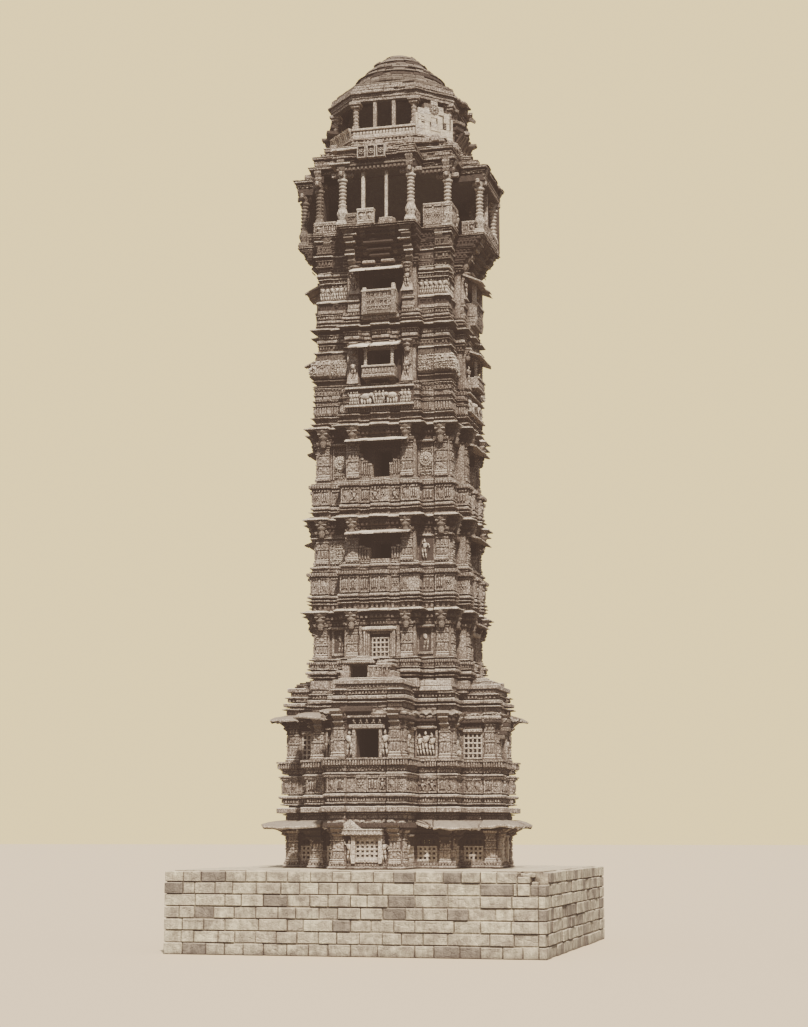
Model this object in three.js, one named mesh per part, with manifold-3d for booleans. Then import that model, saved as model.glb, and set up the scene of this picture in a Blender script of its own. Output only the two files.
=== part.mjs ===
// A nine-storey carved stone temple tower on a square masonry platform.
// Millimetres, +Z up. The origin is on the ground under the tower's axis.
// The front looks along -Y and the right side along +X.
import * as THREE from 'three';
import { mergeVertices } from 'three/addons/utils/BufferGeometryUtils.js';
import Module from 'manifold-3d';

const wasm = await Module();
wasm.setup();

// Driving dimensions
const PLATFORM_HALF = 7160;
const PLATFORM_TOP = 3050;

// Storeys 1 and 2 stand on a cross: a square block with one short arm on each side.
const BLOCK = 2790;
const ARM_HALF = 1350;
const SIDE_ARM = 4250;
const FRONT_ARM = 4900;
const LOW_WALL = 500;

// Storeys 3 to 7 are a square shaft whose four sides each carry a flat middle bay.
const BAY_HALF = 1450;
const BAY_STEP = 330;
const SHAFT_HOLLOW = 1900;
const FLOOR_THICK = 200;
const FLOOR_BEARING = 150;

const STONE = 0xb7a283;
const STONE_PALE = 0xcbb997;
const STONE_DARK = 0x94815f;

// Shapes

// A closed geometry becomes a solid that can be joined and cut.
function solid(geometry) {
  const bare = new THREE.BufferGeometry();
  bare.setAttribute('position', geometry.getAttribute('position'));
  if (geometry.index) bare.setIndex(geometry.index);
  const merged = mergeVertices(bare, 0.01);
  return new wasm.Manifold(new wasm.Mesh({
    numProp: 3,
    vertProperties: new Float32Array(merged.getAttribute('position').array),
    triVerts: new Uint32Array(merged.getIndex().array),
  }));
}

function prism(plan, low, high) {
  const shape = new THREE.Shape(plan.map(([x, y]) => new THREE.Vector2(x, y)));
  const geometry = new THREE.ExtrudeGeometry(shape, { depth: high - low, bevelEnabled: false });
  return solid(geometry.translate(0, 0, low));
}

function block(x0, x1, y0, y1, z0, z1) {
  const geometry = new THREE.BoxGeometry(x1 - x0, y1 - y0, z1 - z0);
  return solid(geometry.translate((x0 + x1) / 2, (y0 + y1) / 2, (z0 + z1) / 2));
}

// A ring swept round the tower. Each corner of its section is a plan at its own height,
// listed as outer low, outer high, inner high, inner low.
function sweptRing(corners) {
  const count = corners[0].plan.length;
  const points = corners.flatMap(({ plan, z }) => plan.map(([x, y]) => [x, y, z])).flat();
  const index = [];
  corners.forEach((_, k) => {
    const low = k * count;
    const high = ((k + 1) % corners.length) * count;
    for (let i = 0; i < count; i += 1) {
      const j = (i + 1) % count;
      index.push(low + i, low + j, high + j, low + i, high + j, high + i);
    }
  });
  const geometry = new THREE.BufferGeometry();
  geometry.setAttribute('position', new THREE.Float32BufferAttribute(points, 3));
  geometry.setIndex(index);
  return solid(geometry);
}

const join = (first, ...rest) => rest.reduce((sum, piece) => sum.add(piece), first);
const cut = (from, ...pieces) => pieces.reduce((left, piece) => left.subtract(piece), from);

// The same solid on each of the tower's four sides, made facing the front.
const onFourSides = (piece) => [0, 90, 180, 270].map((turn) => piece.rotate([0, 0, turn]));

// Plans

// A square of corner blocks with a bay or arm standing forward on each side.
function bayed(corner, half, reachX, reachY, grow = 0) {
  const b = corner + grow;
  const w = half + grow;
  const rx = reachX + grow;
  const ry = reachY + grow;
  return [
    [rx, -w], [rx, w], [b, w], [b, b], [w, b], [w, ry], [-w, ry], [-w, b], [-b, b], [-b, w],
    [-rx, w], [-rx, -w], [-b, -w], [-b, -b], [-w, -b], [-w, -ry], [w, -ry], [w, -b], [b, -b], [b, -w],
  ];
}

const cross = (grow = 0) => bayed(BLOCK, ARM_HALF, SIDE_ARM, FRONT_ARM, grow);
const shaft = (face, grow = 0) => bayed(face, BAY_HALF, face + BAY_STEP, face + BAY_STEP, grow);
const square = (half) => [[half, -half], [half, half], [-half, half], [-half, -half]];

function octagon(reach, faceHalf) {
  const r = reach;
  const f = faceHalf;
  return [[r, -f], [r, f], [f, r], [-f, r], [-r, f], [-r, -f], [-f, -r], [f, -r]];
}

// Courses of masonry one on another, each as [low, high, how far it stands out].
const courses = (plan, list) => join(...list.map(([low, high, out]) => prism(plan(out), low, high)));

// Masonry courses round a hollow, with a rebate in the top that seats the next floor.
function ringOfCourses(plan, list, hollow, rebateLow) {
  const low = list[0][0];
  const high = list[list.length - 1][1];
  const walls = cut(courses(plan, list), prism(hollow, low, high));
  if (rebateLow === undefined) return walls;
  return cut(walls, prism(square(SHAFT_HOLLOW + FLOOR_BEARING), rebateLow, high));
}

// A sloping stone eave: its root sits against the wall and its tip hangs lower.
function eave(plan, rootOut, tipOut, rootTop, tipTop, thick) {
  return sweptRing([
    { plan: plan(tipOut), z: tipTop - thick },
    { plan: plan(tipOut), z: tipTop },
    { plan: plan(rootOut), z: rootTop },
    { plan: plan(rootOut), z: rootTop - 2 * thick },
  ]);
}

// A hood over a window bay: a sloping slab from the wall out to its tip.
function hood(half, rootY, tipY, rootTop, tipTop, thick) {
  const section = [[rootY, rootTop - 2 * thick], [tipY, tipTop - thick], [tipY, tipTop], [rootY, rootTop]];
  const shape = new THREE.Shape(section.map(([y, z]) => new THREE.Vector2(y, z)));
  const geometry = new THREE.ExtrudeGeometry(shape, { depth: 2 * half, bevelEnabled: false });
  const turned = new THREE.Matrix4().set(0, 0, 1, -half, 1, 0, 0, 0, 0, 1, 0, 0, 0, 0, 0, 1);
  return solid(geometry.applyMatrix4(turned));
}

const tower = new THREE.Group();
tower.name = 'temple_tower';

function add(name, piece, colour = STONE) {
  const { vertProperties, triVerts } = piece.getMesh();
  const geometry = new THREE.BufferGeometry();
  geometry.setAttribute('position', new THREE.BufferAttribute(vertProperties, 3));
  geometry.setIndex(new THREE.BufferAttribute(triVerts, 1));
  const material = new THREE.MeshStandardMaterial({ color: colour, roughness: 0.92, metalness: 0 });
  const mesh = new THREE.Mesh(geometry, material);
  mesh.name = name;
  tower.add(mesh);
}

// Platform: squared masonry in level courses, paved on top, its top courses lost at the front
// right corner. Only the joints between the largest stones are cut, on faces and on paving.
const PLATFORM_COURSES = 7;
const COURSE = PLATFORM_TOP / PLATFORM_COURSES;
const LARGEST_STONES = 6;
const STONE_LONG = 2 * PLATFORM_HALF / LARGEST_STONES;
const JOINT_HALF = 9;
const JOINT_DEEP = 90;
const COPING = 300;
const PAVING_LONG = 2040;
const LOST_COURSES = [[6100, 200], [6560, 480]];
const LOST_DEPTH = 900;
const count = (first, last) => Array.from({ length: last - first + 1 }, (_, k) => first + k);
const bedJoints = count(1, PLATFORM_COURSES - 1).map((k) => cut(
  prism(square(PLATFORM_HALF + 10), k * COURSE - JOINT_HALF, k * COURSE + JOINT_HALF),
  prism(square(PLATFORM_HALF - JOINT_DEEP), k * COURSE - JOINT_HALF - 1, k * COURSE + JOINT_HALF + 1),
));
const uprightJoints = count(0, PLATFORM_COURSES - 1).flatMap((k) => {
  const shift = k % 2 ? STONE_LONG / 2 : 0;
  return count(k % 2 ? 0 : 1, LARGEST_STONES - 1).flatMap((i) => {
    const x = -PLATFORM_HALF + shift + i * STONE_LONG;
    return onFourSides(block(
      x - JOINT_HALF, x + JOINT_HALF, -PLATFORM_HALF - 10, -PLATFORM_HALF + JOINT_DEEP, k * COURSE, (k + 1) * COURSE,
    ));
  });
});
const pavingJoints = count(-3, 2).flatMap((i) => {
  const x = (i + 0.5) * PAVING_LONG;
  const end = PLATFORM_HALF - COPING;
  const joint = block(x - JOINT_HALF, x + JOINT_HALF, -end, end, PLATFORM_TOP - JOINT_DEEP, PLATFORM_TOP + 10);
  return [joint, joint.rotate([0, 0, 90])];
});
const platform = cut(
  prism(square(PLATFORM_HALF), 0, PLATFORM_TOP),
  ...LOST_COURSES.map(([x, deep]) =>
    block(x, 8000, -8000, -PLATFORM_HALF + LOST_DEPTH, PLATFORM_TOP - deep, PLATFORM_TOP + 100)),
  join(...bedJoints, ...uprightJoints),
  join(...pavingJoints),
);
add('platform', platform, STONE_PALE);

// Ground storey: a hollow cross of walls with lattice windows and a doorway at the back
const GROUND_TOP = 4560;
const LOW_HOLLOW = cross(-LOW_WALL);
const groundWalls = ringOfCourses(cross, [
  [PLATFORM_TOP, 3170, 150],
  [3170, 3290, 80],
  [3290, 4300, 0],
  [4300, 4440, 90],
  [4440, GROUND_TOP, 180],
], LOW_HOLLOW);
const GROUND_SILL = 3320;
const GROUND_HEAD = 4200;
const armEndHole = (half, low, high) => [
  block(-half, half, -FRONT_ARM - 300, -FRONT_ARM + LOW_WALL + 100, low, high),
  block(-half, half, FRONT_ARM - LOW_WALL - 100, FRONT_ARM + 300, low, high),
  block(-SIDE_ARM - 300, -SIDE_ARM + LOW_WALL + 100, -half, half, low, high),
  block(SIDE_ARM - LOW_WALL - 100, SIDE_ARM + 300, -half, half, low, high),
];
// Windows through both sides of each arm, and through the block between each arm and its corner
const ARM_SIDE_WINDOW = { middle: 3300, half: 350 };
const BLOCK_WINDOW = { middle: 1800, half: 350 };
const holesAcross = (wallOut, { middle, half }, low, high) => [1, -1].flatMap((side) => [
  block(side * middle - half, side * middle + half, -wallOut - 300, wallOut + 300, low, high),
  block(-wallOut - 300, wallOut + 300, side * middle - half, side * middle + half, low, high),
]);
const DOOR_HALF = 450;
add('ground_storey_walls', cut(
  groundWalls,
  ...armEndHole(500, GROUND_SILL, GROUND_HEAD),
  ...holesAcross(ARM_HALF, ARM_SIDE_WINDOW, GROUND_SILL + 80, GROUND_HEAD - 60),
  ...holesAcross(BLOCK, BLOCK_WINDOW, GROUND_SILL + 80, GROUND_HEAD - 60),
  block(-DOOR_HALF, DOOR_HALF, FRONT_ARM - 700, FRONT_ARM + 300, PLATFORM_TOP, GROUND_HEAD),
));

const GROUND_EAVE_TOP = 4900;
add('ground_storey_eave', join(
  cut(prism(cross(60), GROUND_TOP, GROUND_EAVE_TOP), prism(LOW_HOLLOW, GROUND_TOP, GROUND_EAVE_TOP)),
  eave(cross, 30, 950, GROUND_EAVE_TOP - 20, 4660, 70),
));

// Second storey: a moulded base with a band of carved panels, seats, walls and eave
const S2_FLOOR_TOP = 6740;
add('storey_2_base', ringOfCourses(cross, [
  [GROUND_EAVE_TOP, 5170, 40],
  [5170, 5380, 330],
  [5380, 5560, 200],
  [5560, 5720, 300],
  [5720, 5870, 150],
  [5870, 6480, 200],
  [6480, S2_FLOOR_TOP - FLOOR_THICK, 260],
], LOW_HOLLOW));
add('storey_2_floor', prism(cross(FLOOR_BEARING - LOW_WALL), S2_FLOOR_TOP - FLOOR_THICK, S2_FLOOR_TOP));
const seatRing = ringOfCourses(cross, [
  [S2_FLOOR_TOP - FLOOR_THICK, 6690, 330],
  [6690, 6870, 180],
  [6870, 7040, 260],
  [7040, 7180, 340],
], LOW_HOLLOW);
add('storey_2_seat', cut(
  seatRing,
  prism(cross(FLOOR_BEARING - LOW_WALL), S2_FLOOR_TOP - FLOOR_THICK, S2_FLOOR_TOP),
));
const S2_SILL = 7180;
const S2_HEAD = 8270;
const S2_WALL_TOP = 8760;
add('storey_2_walls', cut(
  ringOfCourses(cross, [
    [S2_SILL, 8480, 0],
    [8480, 8620, 100],
    [8620, S2_WALL_TOP, 200],
  ], LOW_HOLLOW),
  ...armEndHole(450, S2_SILL, S2_HEAD),
  ...holesAcross(ARM_HALF, ARM_SIDE_WINDOW, S2_SILL + 60, S2_HEAD),
));
const S2_EAVE_TOP = 9060;
add('storey_2_eave', join(
  cut(prism(cross(60), S2_WALL_TOP, S2_EAVE_TOP), prism(LOW_HOLLOW, S2_WALL_TOP, S2_EAVE_TOP)),
  eave(cross, 30, 650, S2_EAVE_TOP - 20, 8940, 60),
));
const ARM_ROOF_FOOT = 9790;
add('storey_2_roof', ringOfCourses(cross, [
  [S2_EAVE_TOP, 9260, 20],
  [9260, 9430, 160],
  [9430, 9600, -40],
  [9600, ARM_ROOF_FOOT, 60],
], square(SHAFT_HOLLOW)));

// Arm roofs: stepped stone slabs on the four arms, against the foot of the shaft
const ARM_ROOF_ROOT = 3160;
const ARM_ROOF_TOP = 10440;
const armRoof = (reach, steps) => join(...steps.map(([low, high, half, back]) =>
  block(-half, half, -reach + back, -ARM_ROOF_ROOT, low, high)));
const SIDE_ROOF_STEPS = [
  [ARM_ROOF_FOOT, 9960, 1280, 60],
  [9960, 10130, 1400, -60],
  [10130, ARM_ROOF_TOP, 1050, 280],
];
const sideRoof = armRoof(SIDE_ARM, SIDE_ROOF_STEPS);
add('right_arm_roof', sideRoof.rotate([0, 0, 90]));
add('left_arm_roof', sideRoof.rotate([0, 0, 270]));
add('back_arm_roof', armRoof(FRONT_ARM, SIDE_ROOF_STEPS).rotate([0, 0, 180]));
// The front arm's roof carries the broken foot of a balcony with a dark mouth in it
const BALCONY_FOOT_TOP = 10880;
const BALCONY_FOOT_ROOT = 3380;
add('front_arm_roof', cut(
  join(
    armRoof(FRONT_ARM, SIDE_ROOF_STEPS.slice(0, 2)),
    block(-1250, 1150, -4450, -ARM_ROOF_ROOT, 10130, 10300),
    block(-1150, 900, -4250, -ARM_ROOF_ROOT, 10300, ARM_ROOF_TOP),
    block(-1150, 900, -4250, -BALCONY_FOOT_ROOT, ARM_ROOF_TOP, BALCONY_FOOT_TOP - 150),
    block(-500, 800, -4000, -BALCONY_FOOT_ROOT, BALCONY_FOOT_TOP - 150, BALCONY_FOOT_TOP),
  ),
  block(-560, 160, -5000, -3520, 10240, 10640),
));

// Shaft storeys: each has a moulded base, a floor, walls with four windows, and a cornice.
// Courses are [low, high, how far they stand out]; the last base level is the floor's top.
const SHAFT_STOREYS = [
  {
    name: 'storey_3', face: 2750,
    base: [[ARM_ROOF_FOOT, ARM_ROOF_TOP, 80], [ARM_ROOF_TOP, 10600, 300], [10600, 10740, 180],
      [10740, 10900, 260]],
    wall: [[10900, 11020, 160], [11020, 11140, 220], [11140, 12480, 0], [12480, 12640, 120],
      [12640, 12800, 220]],
    cornice: [[12800, 12920, 300], [12920, 13040, 420]],
    window: { half: 400, low: 11140, high: 12120 },
    hood: { half: 900, reach: 3640, rootTop: 12720, tipTop: 12560, thick: 60 },
  },
  {
    name: 'storey_4', face: 2740,
    base: [[13040, 13300, 100], [13300, 13500, 240], [13500, 13680, 140], [13680, 14360, 200],
      [14360, 14540, 260], [14540, 14700, 120]],
    wall: [[14700, 14810, 180], [14810, 14920, 100], [14920, 16200, 0], [16200, 16360, 120],
      [16360, 16500, 240]],
    cornice: [[16500, 16630, 320], [16630, 16760, 450]],
    window: { half: 360, low: 14920, high: 15760 },
    hood: { half: 1300, reach: 3700, rootTop: 16180, tipTop: 15980, thick: 60 },
  },
  {
    name: 'storey_5', face: 2710,
    base: [[16760, 17000, 120], [17000, 17230, 240], [17230, 17980, 180], [17980, 18100, 260]],
    wall: [[18100, 18200, 160], [18200, 18290, 80], [18290, 19920, 0], [19920, 20060, 120],
      [20060, 20200, 240]],
    cornice: [[20200, 20330, 340], [20330, 20460, 480]],
    window: { half: 360, low: 18290, high: 19500 },
    hood: { half: 1350, reach: 3640, rootTop: 19900, tipTop: 19710, thick: 60 },
  },
  {
    name: 'storey_6', face: 2650,
    base: [[20460, 20720, 120], [20720, 20970, 200], [20970, 21080, 300], [21080, 21940, 160],
      [21940, 22100, 220]],
    wall: [[22100, 22260, 140], [22260, 22420, 60], [22420, 23560, 0], [23560, 24020, 60],
      [24020, 24200, 130], [24200, 24350, 60]],
    cornice: [[24350, 24470, 180], [24470, 24580, 330]],
    window: { half: 430, low: 22750, high: 23560 },
    hood: { half: 1250, reach: 3820, rootTop: 23830, tipTop: 23420, thick: 60 },
    balcony: { half: 680, reach: 3520, low: 22260, high: 22750, postX: 550 },
  },
  {
    name: 'storey_7', face: 2590,
    base: [[24580, 24780, 100], [24780, 24920, 180], [24920, 25100, 80]],
    wall: [[25100, 25260, 140], [25260, 25420, 60], [25420, 26840, 0], [26840, 27000, 100],
      [27000, 27240, 180], [27240, 27450, 80]],
    window: { half: 480, low: 25890, high: 26780 },
    hood: { half: 1350, reach: 3900, rootTop: 27000, tipTop: 26520, thick: 60 },
    balcony: { half: 710, reach: 3480, low: 25180, high: 25890, postX: 600 },
  },
];
const POST_HALF = 90;
const BALCONY_WALL = 160;

function windowBay({ face, window: hole, hood: roof, balcony }) {
  const front = -(face + BAY_STEP);
  const pieces = [hood(roof.half, front + 10, -roof.reach, roof.rootTop, roof.tipTop, roof.thick)];
  if (balcony) {
    const { half, reach, low, high, postX } = balcony;
    pieces.push(block(-half, half, -reach, front + 10, low, high));
    [-postX, postX].forEach((x) => pieces.push(
      block(x - POST_HALF, x + POST_HALF, -reach + 40, -reach + 40 + 2 * POST_HALF, high, hole.high + 60),
    ));
    pieces.push(block(-half, half, -reach + 20, front + 10, hole.high + 60, hole.high + 240));
  }
  return pieces;
}

// The opening runs from outside the bay into the hollow, over the balcony's own floor
function windowHole({ face, window: hole, balcony }) {
  const front = -(face + BAY_STEP);
  const pieces = [block(-hole.half, hole.half, front - 600, -SHAFT_HOLLOW + 100, hole.low, hole.high)];
  if (balcony) {
    const { half, reach, low, high } = balcony;
    pieces[0] = block(-hole.half, hole.half, front - 400, -SHAFT_HOLLOW + 100, hole.low, hole.high);
    pieces.push(block(
      -half + BALCONY_WALL, half - BALCONY_WALL, -reach + BALCONY_WALL, front, low + 200, high + 10,
    ));
  }
  return pieces;
}

SHAFT_STOREYS.forEach((storey) => {
  const { name, face, base, wall, cornice } = storey;
  const plan = (out) => shaft(face, out);
  const floorTop = base[base.length - 1][1];
  const hollow = square(SHAFT_HOLLOW);
  add(`${name}_base`, ringOfCourses(plan, base, hollow, floorTop - FLOOR_THICK));
  add(`${name}_floor`, prism(square(SHAFT_HOLLOW + FLOOR_BEARING), floorTop - FLOOR_THICK, floorTop));
  const bays = windowBay(storey).flatMap(onFourSides);
  const holes = windowHole(storey).flatMap(onFourSides);
  add(`${name}_walls`, cut(join(ringOfCourses(plan, wall, hollow), ...bays), ...holes));
  if (cornice) add(`${name}_cornice`, ringOfCourses(plan, cornice, hollow));
});

// Eighth storey: the masonry flares out on corbels to carry an open gallery
const GALLERY_BLOCK = 2950;
const GALLERY_BAY = 1670;
const GALLERY_REACH = 4000;
const CORBEL_FOOT = 27450;
const LEDGE_LOW = 28360;
const LEDGE_TOP = 28510;
const CORBEL_STEPS = [
  [CORBEL_FOOT, 27600, 2650, 1480, 3100],
  [27600, 27760, 2800, 1520, 3300],
  [27760, 27960, 2700, 1500, 3450],
  [27960, 28160, 2760, 1560, 3650],
  [28160, LEDGE_LOW, 2860, 1620, 3850],
];
add('storey_8_corbels', cut(
  join(...CORBEL_STEPS.map(([low, high, corner, half, reach]) =>
    prism(bayed(corner, half, reach, reach), low, high))),
  prism(square(SHAFT_HOLLOW), CORBEL_FOOT, LEDGE_LOW),
), STONE_DARK);

const gallery = (grow) => bayed(GALLERY_BLOCK, GALLERY_BAY, GALLERY_REACH, GALLERY_REACH, grow);
const PARAPET_TOP = 29060;
const PARAPET_THICK = 180;
const COLUMN_PAD = 210;
const COLUMN_GAP = 4;
// Column centres on one side: two at the bay's corners and one at the corner block
const BAY_COLUMN = [GALLERY_BAY - 250, -GALLERY_REACH + 250];
const BLOCK_COLUMN = [GALLERY_BLOCK - 250, -GALLERY_BLOCK + 250];
const columnSpots = [0, 1, 2, 3].flatMap((turn) => {
  const spots = [BAY_COLUMN, [-BAY_COLUMN[0], BAY_COLUMN[1]], BLOCK_COLUMN];
  return spots.map(([x, y]) => {
    const angle = turn * Math.PI / 2;
    const c = Math.round(Math.cos(angle));
    const s = Math.round(Math.sin(angle));
    return [x * c - y * s, x * s + y * c];
  });
});
const parapetRing = cut(
  prism(gallery(-60), LEDGE_TOP - 10, PARAPET_TOP),
  prism(gallery(-60 - PARAPET_THICK), LEDGE_TOP - 20, PARAPET_TOP + 10),
);
const clearColumns = columnSpots.map(([x, y]) => {
  const r = COLUMN_PAD + COLUMN_GAP;
  return block(x - r, x + r, y - r, y + r, LEDGE_TOP, PARAPET_TOP + 10);
});
// Most of the front bay's parapet has fallen: a low stub stays at its left
const fallen = [
  block(-250, 1900, -4100, -3640, LEDGE_TOP, PARAPET_TOP + 10),
  block(-900, -250, -4100, -3640, 28830, PARAPET_TOP + 10),
];
add('storey_8_floor', join(prism(gallery(0), LEDGE_LOW, LEDGE_TOP), cut(parapetRing, ...clearColumns, ...fallen)));

// The gallery's columns are turned in rings and joined on top by the beams they carry
const BEAM_LOW = 30740;
const BEAM_TOP = 31030;
const COLUMN_SIDES = 8;
const COLUMN_PROFILE = [
  [0, LEDGE_TOP], [200, LEDGE_TOP], [200, 28700], [150, 28760], [215, 29000], [215, 29250],
  [130, 29420], [130, 30300], [250, 30560], [250, BEAM_LOW + 10], [0, BEAM_LOW + 10],
];
function column(profile, x, y) {
  const points = profile.map(([radius, z]) => new THREE.Vector2(radius, z));
  const geometry = new THREE.LatheGeometry(points, COLUMN_SIDES);
  return solid(geometry.rotateX(Math.PI / 2).translate(x, y, 0));
}
const galleryBeams = cut(prism(gallery(-20), BEAM_LOW, BEAM_TOP), prism(gallery(-480), BEAM_LOW, BEAM_TOP));
// Each side carries its bay and the corner block to its right, and the beams meet end to end
const BEAM_JOINT = -2440;
const frontQuarter = prism(
  [[BEAM_JOINT, BEAM_JOINT], [BEAM_JOINT, -5000], [5000, -5000], [5000, BEAM_JOINT]],
  BEAM_LOW, BEAM_TOP,
);
const frontColumns = join(
  galleryBeams.intersect(frontQuarter),
  ...columnSpots.slice(0, 3).map(([x, y]) => column(COLUMN_PROFILE, x, y)),
);
['front', 'right', 'back', 'left'].forEach((side, k) => {
  add(`${side}_gallery_columns`, frontColumns.rotate([0, 0, 90 * k]));
});

// The gallery's roof steps in towards the top storey, and is open underneath
const ROOF_8_TOP = 32400;
const ROOF_8_STEPS = [
  [BEAM_TOP, 31200, 3000, 1720, 4060],
  [31200, 31420, 3120, 1800, 4200],
  [31420, 31700, 2900, 1620, 3700],
  [31700, 31900, 2980, 1500, 3450],
  [31900, 32100, 2700, 1400, 3150],
  [32100, ROOF_8_TOP, 2560, 1350, 2900],
];
add('storey_8_roof', cut(
  join(...ROOF_8_STEPS.map(([low, high, corner, half, reach]) =>
    prism(bayed(corner, half, reach, reach), low, high))),
  prism(gallery(-480), BEAM_TOP, 31200),
  prism(square(2200), 31200, 31700),
  prism(square(1500), 31700, 32100),
));

// Ninth storey: an eight-sided open pavilion with low parapets
const TOP_REACH = 2670;
const TOP_FACE = 1350;
const TOP_FLOOR = 32620;
const TOP_SEAT = 33060;
const TOP_WALL = 300;
const pavilion = (grow = 0) => octagon(TOP_REACH + grow, TOP_FACE + grow * 0.4142);
const topRing = (low, high, out, inner) => cut(prism(pavilion(out), low, high), prism(pavilion(inner), low, high));
add('storey_9_floor', prism(pavilion(100), ROOF_8_TOP, TOP_FLOOR));

// The face between front and right is walled up with plain blocks
const DIAGONAL_TURN = 45;
const INFILL_HALF = 930;
const INFILL_OUT = 2840;
const INFILL_IN = INFILL_OUT - TOP_WALL;
const INFILL_STEPS = [[-650, -300, 34230], [-300, 100, 33900], [100, 400, 33700], [400, 650, 34100]];
const turnToDiagonal = (piece) => piece.rotate([0, 0, DIAGONAL_TURN]);
add('storey_9_parapet', cut(
  topRing(TOP_FLOOR, TOP_SEAT, 0, -TOP_WALL),
  turnToDiagonal(block(-INFILL_HALF - 1, INFILL_HALF + 1, -3400, -INFILL_IN + 100, TOP_FLOOR, TOP_SEAT)),
));
add('infill_wall', turnToDiagonal(join(
  block(-INFILL_HALF + 20, INFILL_HALF - 20, -INFILL_OUT, -INFILL_IN, TOP_FLOOR, TOP_SEAT),
  ...INFILL_STEPS.map(([x0, x1, top]) => block(x0, x1, -INFILL_OUT, -INFILL_IN, TOP_SEAT, top)),
)), STONE_PALE);

const LINTEL_LOW = 34230;
const LINTEL_TOP = 34450;
const TOP_POST = 130;
const POST_LONG = TOP_REACH - 220;
const POST_SHORT = TOP_FACE - 110;
const postSpots = [-1, 1].flatMap((sx) => [-1, 1].flatMap((sy) => [
  [sx * POST_LONG, sy * POST_SHORT], [sx * POST_SHORT, sy * POST_LONG],
]));
const MIDDLE_POST_OUT = 2530;
const MIDDLE_POST_SIDE = 400;
const middlePosts = [-1, 1].flatMap((sx) => [-1, 1].flatMap((sy) => [
  [sx * MIDDLE_POST_OUT, sy * MIDDLE_POST_SIDE], [sx * MIDDLE_POST_SIDE, sy * MIDDLE_POST_OUT],
]));
const post = (half) => ([x, y]) => block(x - half, x + half, y - half, y + half, TOP_SEAT, LINTEL_LOW + 10);
add('storey_9_posts', join(
  topRing(LINTEL_LOW, LINTEL_TOP, 0, -TOP_WALL),
  ...postSpots.map(post(TOP_POST)),
  ...middlePosts.map(post(70)),
));

// The top eave is left only at the sides and back: its front has broken away
const TOP_EAVE_ROOT = 35100;
const DOME_FOOT = 35100;
const topCornice = join(
  topRing(LINTEL_TOP, 34640, 120, -TOP_WALL),
  topRing(34640, 34820, -60, -TOP_WALL - 200),
  topRing(34820, 34960, -200, -TOP_WALL - 200),
  topRing(34960, DOME_FOOT, -330, -TOP_WALL - 400),
);
const topEave = eave((out) => pavilion(out), -380, 690, TOP_EAVE_ROOT, 34300, 60);
const brokenFront = prism([[-2100, -2000], [-1500, -5000], [5000, -5000], [2300, -2000]], 34000, 35300);
add('storey_9_eave', join(topCornice, cut(topEave, brokenFront)));

// Dome: a stone shell laid in steps, its crown broken to a stub
const DOME_SIDES = 24;
const DOME_OUTER = [
  [2230, DOME_FOOT], [2230, 35280], [2120, 35330], [2120, 35600], [2030, 35780], [1860, 35820],
  [1780, 35990], [1600, 36030], [1540, 36180], [1400, 36230], [1260, 36480], [1120, 36530],
  [900, 36780], [600, 36960], [260, 37040], [220, 37190], [0, 37190],
];
const DOME_INNER = [[0, 36600], [700, 36350], [1200, 35950], [1600, 35500], [1800, DOME_FOOT]];
const domePoints = [...DOME_INNER, ...DOME_OUTER].map(([radius, z]) => new THREE.Vector2(radius, z));
add('dome', solid(new THREE.LatheGeometry(domePoints, DOME_SIDES).rotateX(Math.PI / 2)));

export default tower;
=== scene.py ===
import bpy
import itertools
import math
import random
import numpy as np
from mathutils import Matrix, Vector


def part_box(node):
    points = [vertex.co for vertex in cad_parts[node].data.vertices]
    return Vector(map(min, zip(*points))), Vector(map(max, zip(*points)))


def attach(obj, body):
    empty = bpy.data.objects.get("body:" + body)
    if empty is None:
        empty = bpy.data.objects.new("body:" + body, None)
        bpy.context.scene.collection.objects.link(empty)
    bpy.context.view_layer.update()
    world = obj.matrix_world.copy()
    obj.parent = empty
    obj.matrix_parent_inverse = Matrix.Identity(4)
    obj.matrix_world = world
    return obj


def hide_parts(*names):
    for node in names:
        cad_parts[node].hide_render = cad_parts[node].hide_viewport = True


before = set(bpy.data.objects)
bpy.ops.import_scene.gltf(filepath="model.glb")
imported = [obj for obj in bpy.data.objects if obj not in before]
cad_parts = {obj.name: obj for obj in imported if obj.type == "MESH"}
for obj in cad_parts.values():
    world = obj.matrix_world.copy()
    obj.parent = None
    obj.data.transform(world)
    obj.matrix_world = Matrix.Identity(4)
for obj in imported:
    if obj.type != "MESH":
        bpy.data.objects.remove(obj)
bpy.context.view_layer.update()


# Platform: a solid terrace of squared sandstone blocks in level courses, paved on top.
# It is dry-laid ashlar over rubble. The top courses at its front right corner have fallen.

class Stones:
    """Pieces of stone gathered into one mesh. Tone picks the material of those put with none,
    such as a copy with painted shade or painted sunlight.
    """

    def __init__(self):
        self.points, self.faces, self.smooth, self.tones = [], [], [], []
        self.count, self.tone = 0, 0

    def put(self, shape, side=0, tone=None):
        """Adds a shape made for the front face, turned onto one of the four sides."""
        points, faces, *smooth = shape
        points = turned(np.asarray(points, float), side)
        self.points.append(points)
        self.faces += [tuple(i + self.count for i in face) for face in faces]
        self.smooth += [bool(smooth)] * len(faces)
        self.tones += [self.tone if tone is None else tone] * len(faces)
        self.count += len(points)

    def lay(self, shapes, side=0, tone=None):
        """Adds several shapes on one side."""
        for shape in shapes:
            self.put(shape, side, tone)


def turned(points, side):
    """Points made for the front, turned by quarter turns: 1 is the right side, 2 the back."""
    x, y, z = points.T
    x, y = ((x, y), (-y, x), (-x, -y), (y, -x))[side % 4]
    return np.stack([x, y, z], axis=1)


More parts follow.
